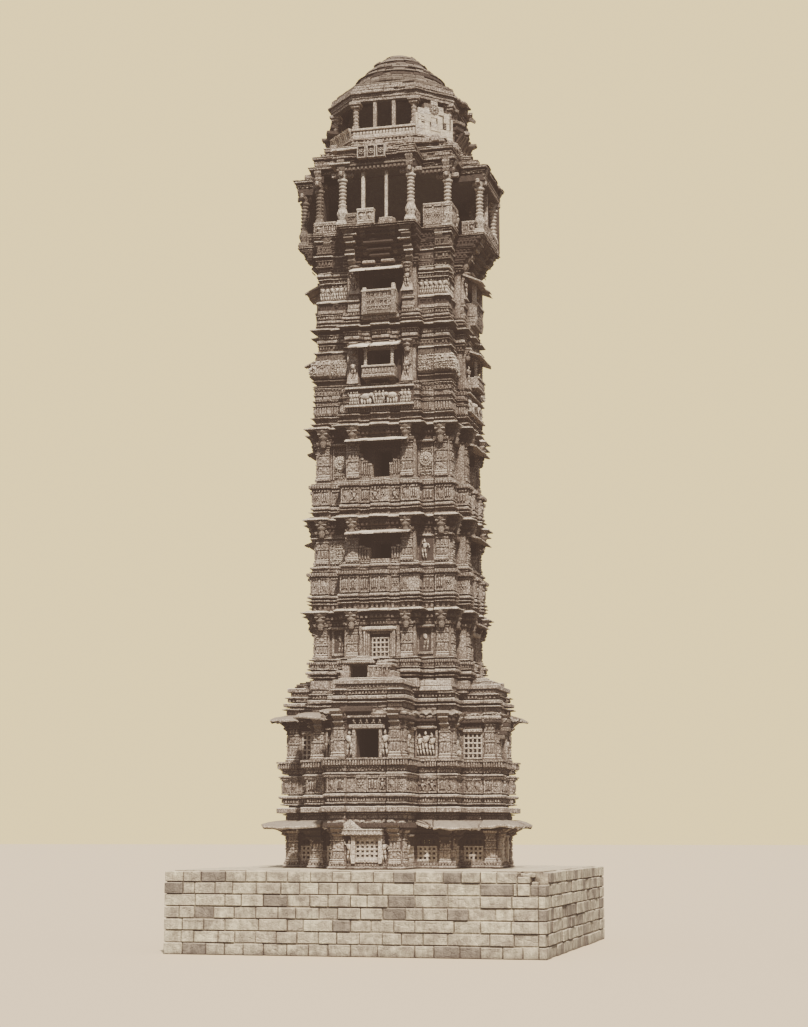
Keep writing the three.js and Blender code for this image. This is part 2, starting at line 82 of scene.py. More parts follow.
def noise(points, size, seed=0):
    """Smooth noise from -1 to 1, with lumps of about the given size in metres."""
    place = points / size + seed * 7.31
    cell = np.floor(place).astype(np.int64)
    t = place - cell
    t = t * t * (3 - 2 * t)
    total = 0
    for corner in itertools.product((0, 1), repeat=3):
        c = cell + corner
        h = (c[:, 0] * 374761393 + c[:, 1] * 668265263 + c[:, 2] * 974634737) & 0xFFFFFFFF
        h = ((h ^ (h >> 13)) * 1274126177) & 0xFFFFFFFF
        value = ((h ^ (h >> 16)) & 0xFFFF) / 32767.5 - 1
        total = total + value * np.prod(np.where(corner, t, 1 - t), axis=1)
    return total


def worn(points, depth, size, seed=0):
    """Points moved a little every way, as weathered stone is."""
    points = np.asarray(points, float)
    shift = [noise(points, size, seed + k) for k in (1, 2, 3)]
    return points + depth * np.stack(shift, axis=1)


CORNERS = [np.array(c) for c in itertools.product((-1, 1), repeat=3)]
CHAMFER_SIGNS = np.repeat(CORNERS, 3, axis=0)
CHAMFER_FULL = np.tile(np.eye(3, dtype=bool), (8, 1))


def chamfered_faces():
    """The 26 faces of a box whose corners are cut: 3 points at each corner, one on each face."""
    def index(corner, axis):
        return 3 * [tuple(c) for c in CORNERS].index(tuple(corner)) + axis
    faces = []
    for axis in range(3):
        a, b = [i for i in range(3) if i != axis]
        for sign in (-1, 1):
            ring = []
            for sa, sb in ((-1, -1), (1, -1), (1, 1), (-1, 1)):
                corner = [0, 0, 0]
                corner[axis], corner[a], corner[b] = sign, sa, sb
                ring.append(index(corner, axis))
            faces.append(ring)
        for sa, sb in itertools.product((-1, 1), repeat=2):
            ends = []
            for along in (-1, 1):
                corner = [0, 0, 0]
                corner[axis], corner[a], corner[b] = along, sa, sb
                ends.append(corner)
            faces.append([index(ends[0], a), index(ends[0], b), index(ends[1], b), index(ends[1], a)])
    faces += [[index(c, 0), index(c, 1), index(c, 2)] for c in CORNERS]
    points = CHAMFER_SIGNS * np.where(CHAMFER_FULL, 1.0, 0.8)
    outward = []
    for face in faces:
        p = points[face]
        normal = np.cross(p[1] - p[0], p[2] - p[0])
        outward.append(tuple(face) if normal @ p.mean(axis=0) > 0 else tuple(reversed(face)))
    return outward


CHAMFER_FACES = chamfered_faces()


def block(x0, x1, out0, out1, z0, z1, chamfer=0.012):
    """A squared stone with cut corners. Out is the distance from the tower's axis to the front."""
    low = np.array([x0, -out1, z0])
    high = np.array([x1, -out0, z1])
    half = (high - low) / 2
    cut = min(chamfer, 0.35 * half.min())
    points = (low + high) / 2 + CHAMFER_SIGNS * np.where(CHAMFER_FULL, half, half - cut)
    return points, CHAMFER_FACES


def slab(middle, half, out0, out1, z0, z1, chamfer=0.012):
    """A squared stone, given by its middle and half its width."""
    return block(middle - half, middle + half, out0, out1, z0, z1, chamfer)


def prism(outline, z0, z1):
    """An upright solid over an outline that runs counter-clockwise."""
    n = len(outline)
    points = [(x, y, z) for z in (z0, z1) for x, y in outline]
    faces = [(i, (i + 1) % n, n + (i + 1) % n, n + i) for i in range(n)]
    return points, faces + [tuple(reversed(range(n))), tuple(range(n, 2 * n))]


# Colour of the painted shade in hollows and carved grooves, and of the faint glow that lifts it
SHADE_AND_GLOW_COLOUR = (0.068, 0.047, 0.037)
# Colour of the dust on upward faces, which also gives them a painted highlight
DUST_AND_TOP_LIGHT = (0.72, 0.64, 0.52)


def stone(name, pale, mid, dark, patch=1.0, grain=1.0, dust_and_top_light=DUST_AND_TOP_LIGHT, chisel=0.0, hollow_shade=0.93):
    """Weathered sandstone: patches, rain streaks, painted shade in recesses, dust and painted highlight on
    tops.

    Chisel is how strongly the fine surface carving, too small to model, marks the stone with painted shade
    in its grooves, and the last argument sets how dark the painted shade in the hollows gets.
    """
    made = bpy.data.materials.new(name)
    made.use_nodes = True
    nodes, links = made.node_tree.nodes, made.node_tree.links
    shader = nodes["Principled BSDF"]
    shader.inputs["Specular IOR Level"].default_value = 0.18
    place = nodes.new("ShaderNodeTexCoord").outputs["Object"]

    def spot(size, detail, rough, stretch=(1, 1, 1)):
        scaled = nodes.new("ShaderNodeMapping")
        scaled.inputs["Scale"].default_value = stretch
        links.new(place, scaled.inputs["Vector"])
        texture = nodes.new("ShaderNodeTexNoise")
        texture.inputs["Scale"].default_value = size
        texture.inputs["Detail"].default_value = detail
        texture.inputs["Roughness"].default_value = rough
        links.new(scaled.outputs["Vector"], texture.inputs["Vector"])
        return texture.outputs["Fac"]

    def ramp(value, low, high, bottom=0.0, top=1.0):
        mapped = nodes.new("ShaderNodeMapRange")
        mapped.interpolation_type = "SMOOTHSTEP"
        for key, number in zip(("From Min", "From Max", "To Min", "To Max"), (low, high, bottom, top)):
            mapped.inputs[key].default_value = number
        links.new(value, mapped.inputs["Value"])
        return mapped.outputs["Result"]

    def mix(first, second, amount, kind="MIX"):
        blend = nodes.new("ShaderNodeMix")
        blend.data_type = "RGBA"
        blend.blend_type = kind
        for socket, source in ((blend.inputs[6], first), (blend.inputs[7], second),
                (blend.inputs[0], amount)):
            if hasattr(source, "links"):
                links.new(source, socket)
            elif isinstance(source, (int, float)):
                socket.default_value = source
            else:
                socket.default_value = (*source, 1)
        return blend.outputs[2]

    def times(first, second, kind="MULTIPLY"):
        node = nodes.new("ShaderNodeMath")
        node.operation = kind
        for socket, source in zip(node.inputs, (first, second)):
            if hasattr(source, "links"):
                links.new(source, socket)
            else:
                socket.default_value = source
        return node.outputs[0]

    patches = ramp(spot(0.9 * patch, 5, 0.6), 0.36, 0.62)
    mottle = ramp(spot(7 * grain, 6, 0.72), 0.38, 0.64)
    streaks = ramp(spot(3.2, 4, 0.6, (1.6, 1.6, 0.22)), 0.46, 0.7)
    specks = ramp(spot(34 * grain, 3, 0.7), 0.4, 0.62)
    colour = mix(mid, pale, patches)
    colour = mix(colour, dark, times(mottle, 0.55))
    colour = mix(colour, dark, times(streaks, 0.5))
    colour = mix(colour, pale, times(specks, 0.3))
    normal = nodes.new("ShaderNodeSeparateXYZ")
    links.new(nodes.new("ShaderNodeNewGeometry").outputs["Normal"], normal.inputs[0])
    up = normal.outputs["Z"]
    if chisel:
        shrunk = nodes.new("ShaderNodeMapping")
        shrunk.inputs["Scale"].default_value = (1, 1, 0.62)
        links.new(place, shrunk.inputs["Vector"])
        cuts = nodes.new("ShaderNodeTexVoronoi")
        cuts.feature = "DISTANCE_TO_EDGE"
        cuts.inputs["Scale"].default_value = 12.5
        links.new(shrunk.outputs["Vector"], cuts.inputs["Vector"])
        groove = ramp(cuts.outputs["Distance"], 0.16, 0.03)
        # Painted shade: the grooves of the fine carving are darkened, except on upward faces
        colour = mix(colour, SHADE_AND_GLOW_COLOUR, times(times(groove, chisel), ramp(up, 0.6, 0.2)))
    # Dust and a painted highlight: upward faces are made paler
    colour = mix(colour, dust_and_top_light, times(ramp(up, 0.3, 0.85), 0.7))
    # Painted shade: downward faces are darkened
    colour = mix(colour, dark, times(ramp(up, -0.35, -0.9), 0.75))
    # Painted shade: hollows found by ambient occlusion are darkened towards the shade colour
    hollow = nodes.new("ShaderNodeAmbientOcclusion")
    hollow.inputs["Distance"].default_value = 0.35
    hollow.samples = 4
    hollow_shade_mask = ramp(hollow.outputs["AO"], 0.86, 0.42)
    colour = mix(colour, SHADE_AND_GLOW_COLOUR, times(hollow_shade_mask, hollow_shade))
    links.new(colour, shader.inputs["Base Color"])
    # A faint glow of the shade colour, though stone is no lamp, lifts the shade
    shader.inputs["Emission Color"].default_value = (*SHADE_AND_GLOW_COLOUR, 1)
    shader.inputs["Emission Strength"].default_value = 0.8
    links.new(ramp(mottle, 0.0, 1.0, 0.97, 0.8), shader.inputs["Roughness"])

    chips = nodes.new("ShaderNodeTexVoronoi")
    chips.feature = "DISTANCE_TO_EDGE"
    chips.inputs["Scale"].default_value = 5.5 * grain
    links.new(place, chips.inputs["Vector"])
    height = times(mottle, 0.5)
    height = times(height, times(specks, 0.22), "ADD")
    height = times(height, times(ramp(chips.outputs["Distance"], 0.0, 0.08), 0.35), "ADD")
    if chisel:
        height = times(height, times(groove, -0.8 * chisel), "ADD")
    bump = nodes.new("ShaderNodeBump")
    bump.inputs["Strength"].default_value = 0.75
    bump.inputs["Distance"].default_value = 0.035
    links.new(height, bump.inputs["Height"])
    links.new(bump.outputs["Normal"], shader.inputs["Normal"])
    return made


def build(name, stones, material, slot, *nodes, others=()):
    """Makes the gathered stones into a piece that stands for the CAD nodes named."""
    mesh = bpy.data.meshes.new(name)
    mesh.from_pydata(np.concatenate(stones.points).tolist(), [], stones.faces)
    mesh.polygons.foreach_set("use_smooth", stones.smooth)
    mesh.update()
    piece = bpy.data.objects.new(name, mesh)
    bpy.context.scene.collection.objects.link(piece)
    mesh.materials.append(material)
    for finish in others:
        mesh.materials.append(finish)
    if others:
        mesh.polygons.foreach_set("material_index", stones.tones)
    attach(piece, "root")
    if nodes:
        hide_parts(*nodes)
    return piece


PALE_STONE = stone("squared_sandstone", (0.7, 0.6, 0.4), (0.31, 0.25, 0.18), (0.08, 0.062, 0.048), 2.6, 0.6,
    dust_and_top_light=(0.55, 0.47, 0.34), hollow_shade=1.0)
STAINED_STONE = stone("stained_sandstone", (0.34, 0.28, 0.205), (0.17, 0.137, 0.105), (0.05, 0.039, 0.031),
    2.6, 0.6, dust_and_top_light=(0.45, 0.38, 0.28), hollow_shade=1.0)
CREAM_STONE = stone("cream_sandstone", (0.8, 0.7, 0.46), (0.5, 0.415, 0.28), (0.14, 0.11, 0.08), 2.6, 0.6,
    dust_and_top_light=(0.6, 0.52, 0.38), hollow_shade=1.0)
PLATFORM_HALF, _, PLATFORM_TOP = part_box("platform")[1]
PLATFORM_COURSES = 7
COURSE = PLATFORM_TOP / PLATFORM_COURSES
STONE_LONG = 2 * PLATFORM_HALF / 6
COPING = 0.3
LOST_X, LOST_DEEP_X, LOST_Y = 6.1, 6.56, 6.26
LOST_TOP, LOST_DEEP_TOP = PLATFORM_TOP - 0.2, PLATFORM_TOP - 0.48
chance = random.Random(11)
platform = Stones()
core = PLATFORM_HALF - 0.09
platform.put(prism([(-core, -core), (core, -core), (core, core), (-core, core)], 0, LOST_DEEP_TOP - 0.03))
for corner, low, high in ((LOST_DEEP_X, LOST_DEEP_TOP - 0.03, LOST_TOP - 0.02),
        (LOST_X, LOST_TOP - 0.02, PLATFORM_TOP - 0.09)):
    platform.put(prism([(-core, -core), (corner - 0.03, -core), (corner - 0.03, -LOST_Y - 0.03),
        (core, -LOST_Y - 0.03), (core, core), (-core, core)], low, high))


def split(start, end):
    """A length of a course as two or three stones of unequal length."""
    cuts = 3 if end - start > 1.8 and chance.random() < 0.6 else 2 if end - start > 0.9 else 1
    shares = np.cumsum([chance.uniform(0.7, 1.3) for k in range(cuts)])
    edges = [start, *(start + (end - start) * shares / shares[-1])]
    return zip(edges, edges[1:])


def fallen_top(side, course, x):
    """The top of a stone in the upper courses, where some of them have fallen at a corner."""
    whole = (course + 1) * COURSE - (0.03 if course == PLATFORM_COURSES - 1 else 0.01)
    if side == 0 and x > LOST_DEEP_X or side == 1 and x < -LOST_Y:
        return min(whole, LOST_DEEP_TOP)
    if side == 0 and x > LOST_X:
        return min(whole, LOST_TOP)
    return whole


for side, course in itertools.product(range(4), range(PLATFORM_COURSES)):
    marks = [-PLATFORM_HALF + (i + (0.5 if course % 2 else 0)) * STONE_LONG for i in range(6)]
    marks = [-PLATFORM_HALF + 0.01, *(mark for mark in marks if mark > -PLATFORM_HALF),
        PLATFORM_HALF - COPING]
    if course >= 5:
        marks = sorted(marks + ([LOST_X, LOST_DEEP_X] if side == 0 else [-LOST_Y] if side == 1 else []))
    for first, last in zip(marks, marks[1:]):
        for x0, x1 in split(first, last):
            face = PLATFORM_HALF - chance.uniform(0.002, 0.075)
            joint = chance.uniform(0.006, 0.014)
            top = fallen_top(side, course, (x0 + x1) / 2) - chance.uniform(0, 0.028)
            low = course * COURSE + (joint if course else 0)
            platform.tone = chance.choice((0, 0, 0, 1, 2))
            if top > low + 0.05:
                platform.put(block(x0 + joint, x1 - joint, PLATFORM_HALF - COPING, face, low, top, 0.026),
                    side)
platform.tone = 0
PAVING = 1.02
PAVED = PLATFORM_HALF - COPING
paving_lines = [-PAVED, *(PAVING * k for k in range(-6, 7)), PAVED]
for (x0, x1), (y0, y1) in itertools.product(zip(paving_lines, paving_lines[1:]), repeat=2):
    top = PLATFORM_TOP - chance.uniform(0.0, 0.022)
    if x1 > LOST_X and y1 < -5.5:
        x1, y0 = min(x1, LOST_X - 0.02), max(y0, -LOST_Y)
    if x1 > x0 + 0.1:
        platform.put(block(x0 + 0.01, x1 - 0.01, -y1 + 0.01, -y0 - 0.01, PLATFORM_TOP - 0.1, top, 0.018))
for k in range(14):
    x, out = chance.uniform(LOST_X, PLATFORM_HALF - 0.2), chance.uniform(LOST_Y + 0.1, PLATFORM_HALF - 0.15)
    half, low = chance.uniform(0.06, 0.14), LOST_DEEP_TOP - 0.03 if x > LOST_DEEP_X else LOST_TOP - 0.03
    platform.put(slab(x, half, out - half, out + 0.7 * half, low, low + chance.uniform(0.06, 0.16), 0.04))
build("platform_masonry", platform, PALE_STONE, "pale_stone", "platform",
    others=(STAINED_STONE, CREAM_STONE))


# Ground storey walls: a cross of sandstone walls with a lattice in every window and banded
# pilasters at the corners. Carved from large blocks and laid dry on the platform's paving.

def plan_of(halves):
    """A closed plan from the right half of each side, listed from its middle outwards.

    Each point is (along, out, splay, push, mark): splay and push say how it moves sideways and
    outwards as a course stands out, and the marks open and close say where openings lie.
    """
    swapped = {"open": "close", "close": "open", "": ""}
    places, pushes, marks = [], [], []
    for side, half in enumerate(halves):
        whole = [(-a, o, -s, p, swapped[m]) for a, o, s, p, m in reversed(half)] + half
        for a, o, s, p, mark in whole:
            ends = turned(np.array([[a, -o, 0.0], [s, -p, 0.0]]), side)
            if places and np.hypot(*(ends[0, :2] - places[-1])) < 1e-6:
                continue
            places.append(ends[0, :2])
            pushes.append(ends[1, :2])
            marks.append(mark)
    if np.hypot(*(places[0] - places[-1])) < 1e-6:
        places, pushes, marks = places[:-1], pushes[:-1], marks[:-1]
    return np.array(places), np.array(pushes), marks


def finer(places, pushes, step, closed):
    """The same plan with points along its long edges."""
    out_places, out_pushes = [], []
    count = len(places)
    for i in range(count if closed else count - 1):
        j = (i + 1) % count
        cuts = max(1, int(np.hypot(*(places[j] - places[i])) / step + 0.5))
        for k in range(cuts):
            t = k / cuts
            out_places.append(places[i] * (1 - t) + places[j] * t)
            out_pushes.append(pushes[i] * (1 - t) + pushes[j] * t)
    if not closed:
        out_places.append(places[-1])
        out_pushes.append(pushes[-1])
    return np.array(out_places), np.array(out_pushes)


# Tones of carved pieces: plain, painted shade, painted black shade and painted sunlight
SHADED, BLACK_SHADE, SUNLIT = 1, 2, 3


def course_ring(stones, places, pushes, rows, inner, closed=True, step=0.16, wear=0.014, seed=0, turn=0):
    """A ring, or a length of it, whose outer face follows rows of (out, height, bite).

    A row with a tone after them gives it to the face that starts there.
    """
    places, pushes = finer(places, pushes, step, closed)
    count = len(places)
    flat = np.column_stack([places, np.full(count, rows[0][1])])
    bitten = np.clip(noise(flat, 0.42, seed + 5) * 1.6 - 0.35, 0, 1)
    bitten = bitten + np.clip(noise(flat, 0.15, seed + 9) - 0.2, 0, 1)
    loops = []
    for out, z, bite, *shade in rows:
        reach = places + pushes * (out - bite * bitten)[:, None]
        loops.append(np.column_stack([reach, np.full(count, z)]))
    inside = inner(places, pushes)
    loops = [worn(loop, wear, 0.23, seed) for loop in loops]
    for z in (rows[-1][1], rows[0][1]):
        loops.append(np.column_stack([inside, np.full(count, z)]))
    faces = []
    for k in range(len(loops)):
        low, high = k * count, ((k + 1) % len(loops)) * count
        for i in range(count if closed else count - 1):
            j = (i + 1) % count
            faces.append((low + i, low + j, high + j, high + i))
    if not closed:
        starts = [k * count for k in range(len(loops))]
        faces.append(tuple(starts))
        faces.append(tuple(k + count - 1 for k in reversed(starts)))
    stones.put((np.concatenate(loops), faces), turn)
    edges = count if closed else count - 1
    first_face = len(stones.tones) - len(faces)
    for k, (out, z, bite, *shade) in enumerate(rows):
        if shade:
            stones.tones[first_face + k * edges:first_face + (k + 1) * edges] = shade * edges
    # The inside faces, and the ends of a length, are painted black as shade
    inside_face = first_face + len(rows) * edges
    stones.tones[inside_face:inside_face + 2 * edges] = [BLACK_SHADE] * (2 * edges)
    if not closed:
        stones.tones[-2:] = [BLACK_SHADE] * 2


def between_openings(plan):
    """The lengths of a plan from the end of one opening to the start of the next."""
    places, pushes, marks = plan
    count = len(places)
    for first in (i for i, mark in enumerate(marks) if mark == "close"):
        last = next(k for k in range(first + 1, first + count + 1) if marks[k % count] == "open")
        picked = [k % count for k in range(first, last + 1)]
        yield places[picked], pushes[picked]


def wall_lengths(stones, plan, rows, inner, seed):
    """The wall between the openings of a plan."""
    for places, pushes in between_openings(plan):
        course_ring(stones, places, pushes, rows, inner, closed=False, seed=seed)


def stud(x, out, z0, z1, half, proud, taper=0.7, depth=0.04):
    """A small tapering block that stands out of a wall."""
    lift = (z1 - z0) * (1 - taper) / 2
    points = [(x + a * half, -out + depth, z) for a, z in ((-1, z0), (1, z0), (1, z1), (-1, z1))]
    points += [(x + a * half * taper, -out - proud, z) for a,
        z in ((-1, z0 + lift), (1, z0 + lift), (1, z1 - lift), (-1, z1 - lift))]
    return points, [(3, 2, 1, 0), (4, 5, 6, 7), (0, 1, 5, 4), (1, 2, 6, 5), (2, 3, 7, 6), (3, 0, 4, 7)]


def gem(x, out, z, half, tall, proud, depth=0.03):
    """A pointed lozenge."""
    points = [(x - half, -out, z), (x, -out, z - tall), (x + half, -out, z), (x, -out, z + tall),
        (x, -out - proud, z), (x, -out + depth, z)]
    return points, [(0, 1, 4), (1, 2, 4), (2, 3, 4), (3, 0, 4), (1, 0, 5), (2, 1, 5), (3, 2, 5), (0, 3, 5)]


def ball(x, out, z, wide, deep, tall, around=8, rings=5):
    """A rounded lump of carving."""
    points = [(x, -out, z + tall)]
    for k in range(1, rings):
        a = math.pi * k / rings
        for i in range(around):
            b = 2 * math.pi * i / around
            points.append((x + wide * math.sin(a) * math.cos(b), -out + deep * math.sin(a) * math.sin(b),
                z + tall * math.cos(a)))
    points.append((x, -out, z - tall))
    faces = []
    for i in range(around):
        j = (i + 1) % around
        faces.append((0, 1 + i, 1 + j))
        for k in range(rings - 2):
            row = 1 + k * around
            faces.append((row + i, row + around + i, row + around + j, row + j))
        last = 1 + (rings - 2) * around
        faces.append((last + j, last + i, len(points) - 1))
    return np.array(points), faces, True


def limb(start, end, thick0, thick1, around=6):
    """A tapering round length between two points, each (along, out, height)."""
    a, b = (np.array([p[0], -p[1], p[2]]) for p in (start, end))
    way = (b - a) / np.linalg.norm(b - a)
    across = np.cross(way, (0, 1, 0) if abs(way[1]) < 0.9 else (1, 0, 0))
    across /= np.linalg.norm(across)
    other = np.cross(way, across)
    points = []
    for centre, thick in ((a, thick0), (b, thick1)):
        for i in range(around):
            t = 2 * math.pi * i / around
            points.append(centre + thick * (math.cos(t) * across + math.sin(t) * other))
    faces = [(i, (i + 1) % around, around + (i + 1) % around, around + i) for i in range(around)]
    faces += [tuple(reversed(range(around))), tuple(range(around, 2 * around))]
    return np.array(points), faces, True


def small_figure(x, out, foot, tall, chance):
    """A seated or dancing figure in a frieze, too small for a face."""
    lean = chance.uniform(-0.12, 0.12) * tall
    shapes = [ball(x, out + 0.02, foot + 0.22 * tall, 0.24 * tall, 0.12 * tall, 0.18 * tall, 6, 4),
        limb((x, out + 0.03, foot + 0.2 * tall), (x + lean, out + 0.04, foot + 0.68 * tall), 0.13 * tall,
        0.17 * tall), ball(x + lean, out + 0.05, foot + 0.86 * tall, 0.11 * tall, 0.11 * tall, 0.13 * tall,
        6, 4)]
    for turn in (-1, 1):
        hand = (x + turn * chance.uniform(0.28, 0.42) * tall, out + 0.04,
            foot + chance.uniform(0.3, 0.95) * tall)
        shapes.append(limb((x + lean + turn * 0.12 * tall, out + 0.04, foot + 0.66 * tall), hand,
            0.06 * tall, 0.04 * tall, 5))
        shapes.append(limb((x + turn * 0.1 * tall, out + 0.04, foot + 0.2 * tall),
            (x + turn * chance.uniform(0.12, 0.34) * tall, out + 0.04, foot + 0.02), 0.08 * tall,
            0.05 * tall, 5))
    return shapes


def rosette(x, out, z, radius, petals=8, proud=0.07):
    """A round flower of petals about a boss."""
    shapes = [ball(x, out, z, 0.36 * radius, proud, 0.36 * radius)]
    for k in range(petals):
        a = 2 * math.pi * k / petals
        shapes.append(ball(x + 0.7 * radius * math.cos(a), out, z + 0.7 * radius * math.sin(a),
            0.24 * radius, 0.6 * proud, 0.24 * radius, 6, 4))
    return shapes


# Motifs of the carved bands. Each is given its middle, width, distance out and levels.

def carved_rib(x, wide, out, z0, z1, chance):
    return [stud(x, out, z0, z1, 0.36 * wide, chance.uniform(0.03, 0.055))]


def dentil(x, wide, out, z0, z1, chance):
    return [stud(x, out, z0 + 0.1 * (z1 - z0), z1, 0.28 * wide, 0.06, 0.85)]


def petal(x, wide, out, z0, z1, chance):
    return [gem(x, out, (z0 + z1) / 2, 0.48 * wide, 0.5 * (z1 - z0), 0.06)]


def slab_joint(x, wide, out, z0, z1, chance):
    half = 0.5 * wide - 0.012
    return [slab(x, half, out - 0.06, out + chance.uniform(0.015, 0.055), z0 + 0.01, z1 - 0.01, 0.02)]


def leaf(x, wide, out, z0, z1, chance):
    tall = z1 - z0
    return [gem(x, out, z0 + 0.42 * tall, 0.3 * wide, 0.42 * tall, 0.07),
        stud(x, out, z0 + 0.86 * tall, z1, 0.5 * wide, 0.05)]


def carved_panel(x, wide, out, z0, z1, chance):
    """A framed panel with a lozenge, a flower, a figure or upright leaves in it."""
    tall, half = z1 - z0, 0.5 * wide
    shapes = [stud(x - half + 0.025, out, z0, z1, 0.025, 0.045, 0.8)]
    shapes += [stud(x, out, z1 - 0.06, z1, half, 0.05, 0.9), stud(x, out, z0, z0 + 0.06, half, 0.05, 0.9)]
    kind = chance.choice(("gem", "flower", "figure", "leaves", "leaves"))
    middle = (z0 + z1) / 2
    if kind == "gem":
        shapes += [gem(x, out, middle, 0.3 * wide, 0.36 * tall, 0.1)]
        shapes += [gem(x + a * 0.28 * wide, out, middle + b * 0.3 * tall, 0.1 * wide, 0.12 * tall, 0.06)
            for a, b in itertools.product((-1, 1), repeat=2)]
    elif kind == "flower":
        shapes += rosette(x, out, middle, min(0.34 * wide, 0.36 * tall), 6)
    elif kind == "figure":
        shapes += small_figure(x, out, z0 + 0.1 * tall, 0.76 * tall, chance)
    else:
        shapes += [stud(x + k * 0.24 * wide, out, z0 + 0.12 * tall, z1 - (0.12 + 0.08 * abs(k)) * tall,
            0.09 * wide, 0.06, 0.6) for k in (-1, 0, 1)]
    return shapes


def edges_of(plan, out=0.0, shortest=0.26):
    """Straight edges of a plan that face the four sides, as (side, from, to, distance out)."""
    places = plan[0] + out * plan[1]
    for here, there in zip(places, np.roll(places, -1, axis=0)):
        way = there - here
        if np.hypot(*way) >= shortest and np.abs(way).min() < 0.09:
            side = round(math.degrees(math.atan2(way[1], way[0])) / 90) % 4
            ends = turned(np.array([[*here, 0], [*there, 0]]), -side)
            yield side, ends[0, 0], ends[1, 0], -ends[:, 1].mean()


LOST_SHARE = 0.04


def carve_band(stones, plan, out, z0, z1, motif, step, seed, turn=0):
    """Repeats a motif round a course, leaving out the few that have broken off."""
    chance = random.Random(seed)
    for side, start, end, reach in edges_of(plan, out):
        count = max(1, round((end - start) / step))
        wide = (end - start) / count
        for k in range(count):
            shapes = motif(start + (k + 0.5) * wide, wide, reach, z0, z1, chance)
            if chance.random() > LOST_SHARE:
                stones.lay(shapes, side + turn)


def tracery(x, wide, out, z0, z1, chance, cell=0.1):
    """Dense carving in low relief: small leaves and bosses that fill a panel."""
    shapes = []
    across, up = max(1, round(wide / cell)), max(1, round((z1 - z0) / cell))
    for i, k in itertools.product(range(across), range(up)):
        along = x - wide / 2 + (i + 0.5 + chance.uniform(-0.3, 0.3)) * wide / across
        high = z0 + (k + 0.5 + chance.uniform(-0.3, 0.3)) * (z1 - z0) / up
        shapes.append(gem(along, out, high, chance.uniform(0.03, 0.065), chance.uniform(0.04, 0.08),
            chance.uniform(0.04, 0.1), 0.1))
    return shapes


# Sections of a course, as (further out, share of its height, how deep its rim is bitten, tone)
# The tone on a section's first rows paints its undercut or its slot black as shade
FLAT = ((0, 0, 0), (0, 1, 0))
ROLL = ((-0.07, 0, 0, BLACK_SHADE), (-0.01, 0.2, 0.01), (0, 0.5, 0.02), (-0.012, 0.8, 0.01), (-0.07, 1, 0))
DRIP = ((-0.16, 0, 0, BLACK_SHADE), (-0.02, 0.22, 0.03), (0, 0.3, 0.08), (0, 0.58, 0.08), (-0.16, 1, 0.01))
COVE = ((-0.02, 0, 0, BLACK_SHADE), (-0.09, 0.35, 0, BLACK_SHADE), (-0.08, 0.7, 0), (0, 1, 0.01))
SLOT = ((-0.02, 0, 0, BLACK_SHADE), (-0.16, 0.06, 0, BLACK_SHADE), (-0.16, 0.94, 0, BLACK_SHADE), (-0.02, 1, 0))
SWELL = ((-0.14, 0, 0), (-0.03, 0.12, 0.01), (0, 0.32, 0.02), (-0.04, 0.6, 0.01), (-0.12, 0.85, 0),
    (-0.18, 1, 0))


def course_rows(low, high, courses):
    """The rows of courses laid one on another, and the bands of carving that they carry.

    A course is (share of the height, how far out, section, motif, its spacing).
    """
    whole = sum(course[0] for course in courses)
    rows, bands, z = [], [], low
    for share, out, section, *carving in courses:
        tall = (high - low) * share / whole
        rows += [(out + grow, z + part * tall, *rest) for grow, part, *rest in section]
        if carving:
            bands.append((len(rows), out, z, z + tall, *carving))
        z += tall
    return rows, bands


def coursework(stones, plan, low, high, inner, courses, seed):
    """Courses all round a plan."""
    rows, bands = course_rows(low, high, courses)
    for count, *band in bands:
        carve_band(stones, plan, *band, seed + count)
    course_ring(stones, *plan[:2], rows, inner, seed=seed)


def pile(x, out, levels, depth=0.06):
    """An upright against a wall, from (height, half width, how far it stands out) levels."""
    points, faces = [], []
    for z, half, proud in levels:
        points += [(x - half, -out + depth, z), (x - half, -out - proud, z), (x + half, -out - proud, z),
            (x + half, -out + depth, z)]
    for k in range(len(levels) - 1):
        for i in range(4):
            j = (i + 1) % 4
            faces.append((4 * k + i, 4 * k + j, 4 * k + 4 + j, 4 * k + 4 + i))
    top = 4 * len(levels) - 4
    faces += [(3, 2, 1, 0), (top, top + 1, top + 2, top + 3)]
    return np.array(points), faces


pilaster_chance = random.Random(3)


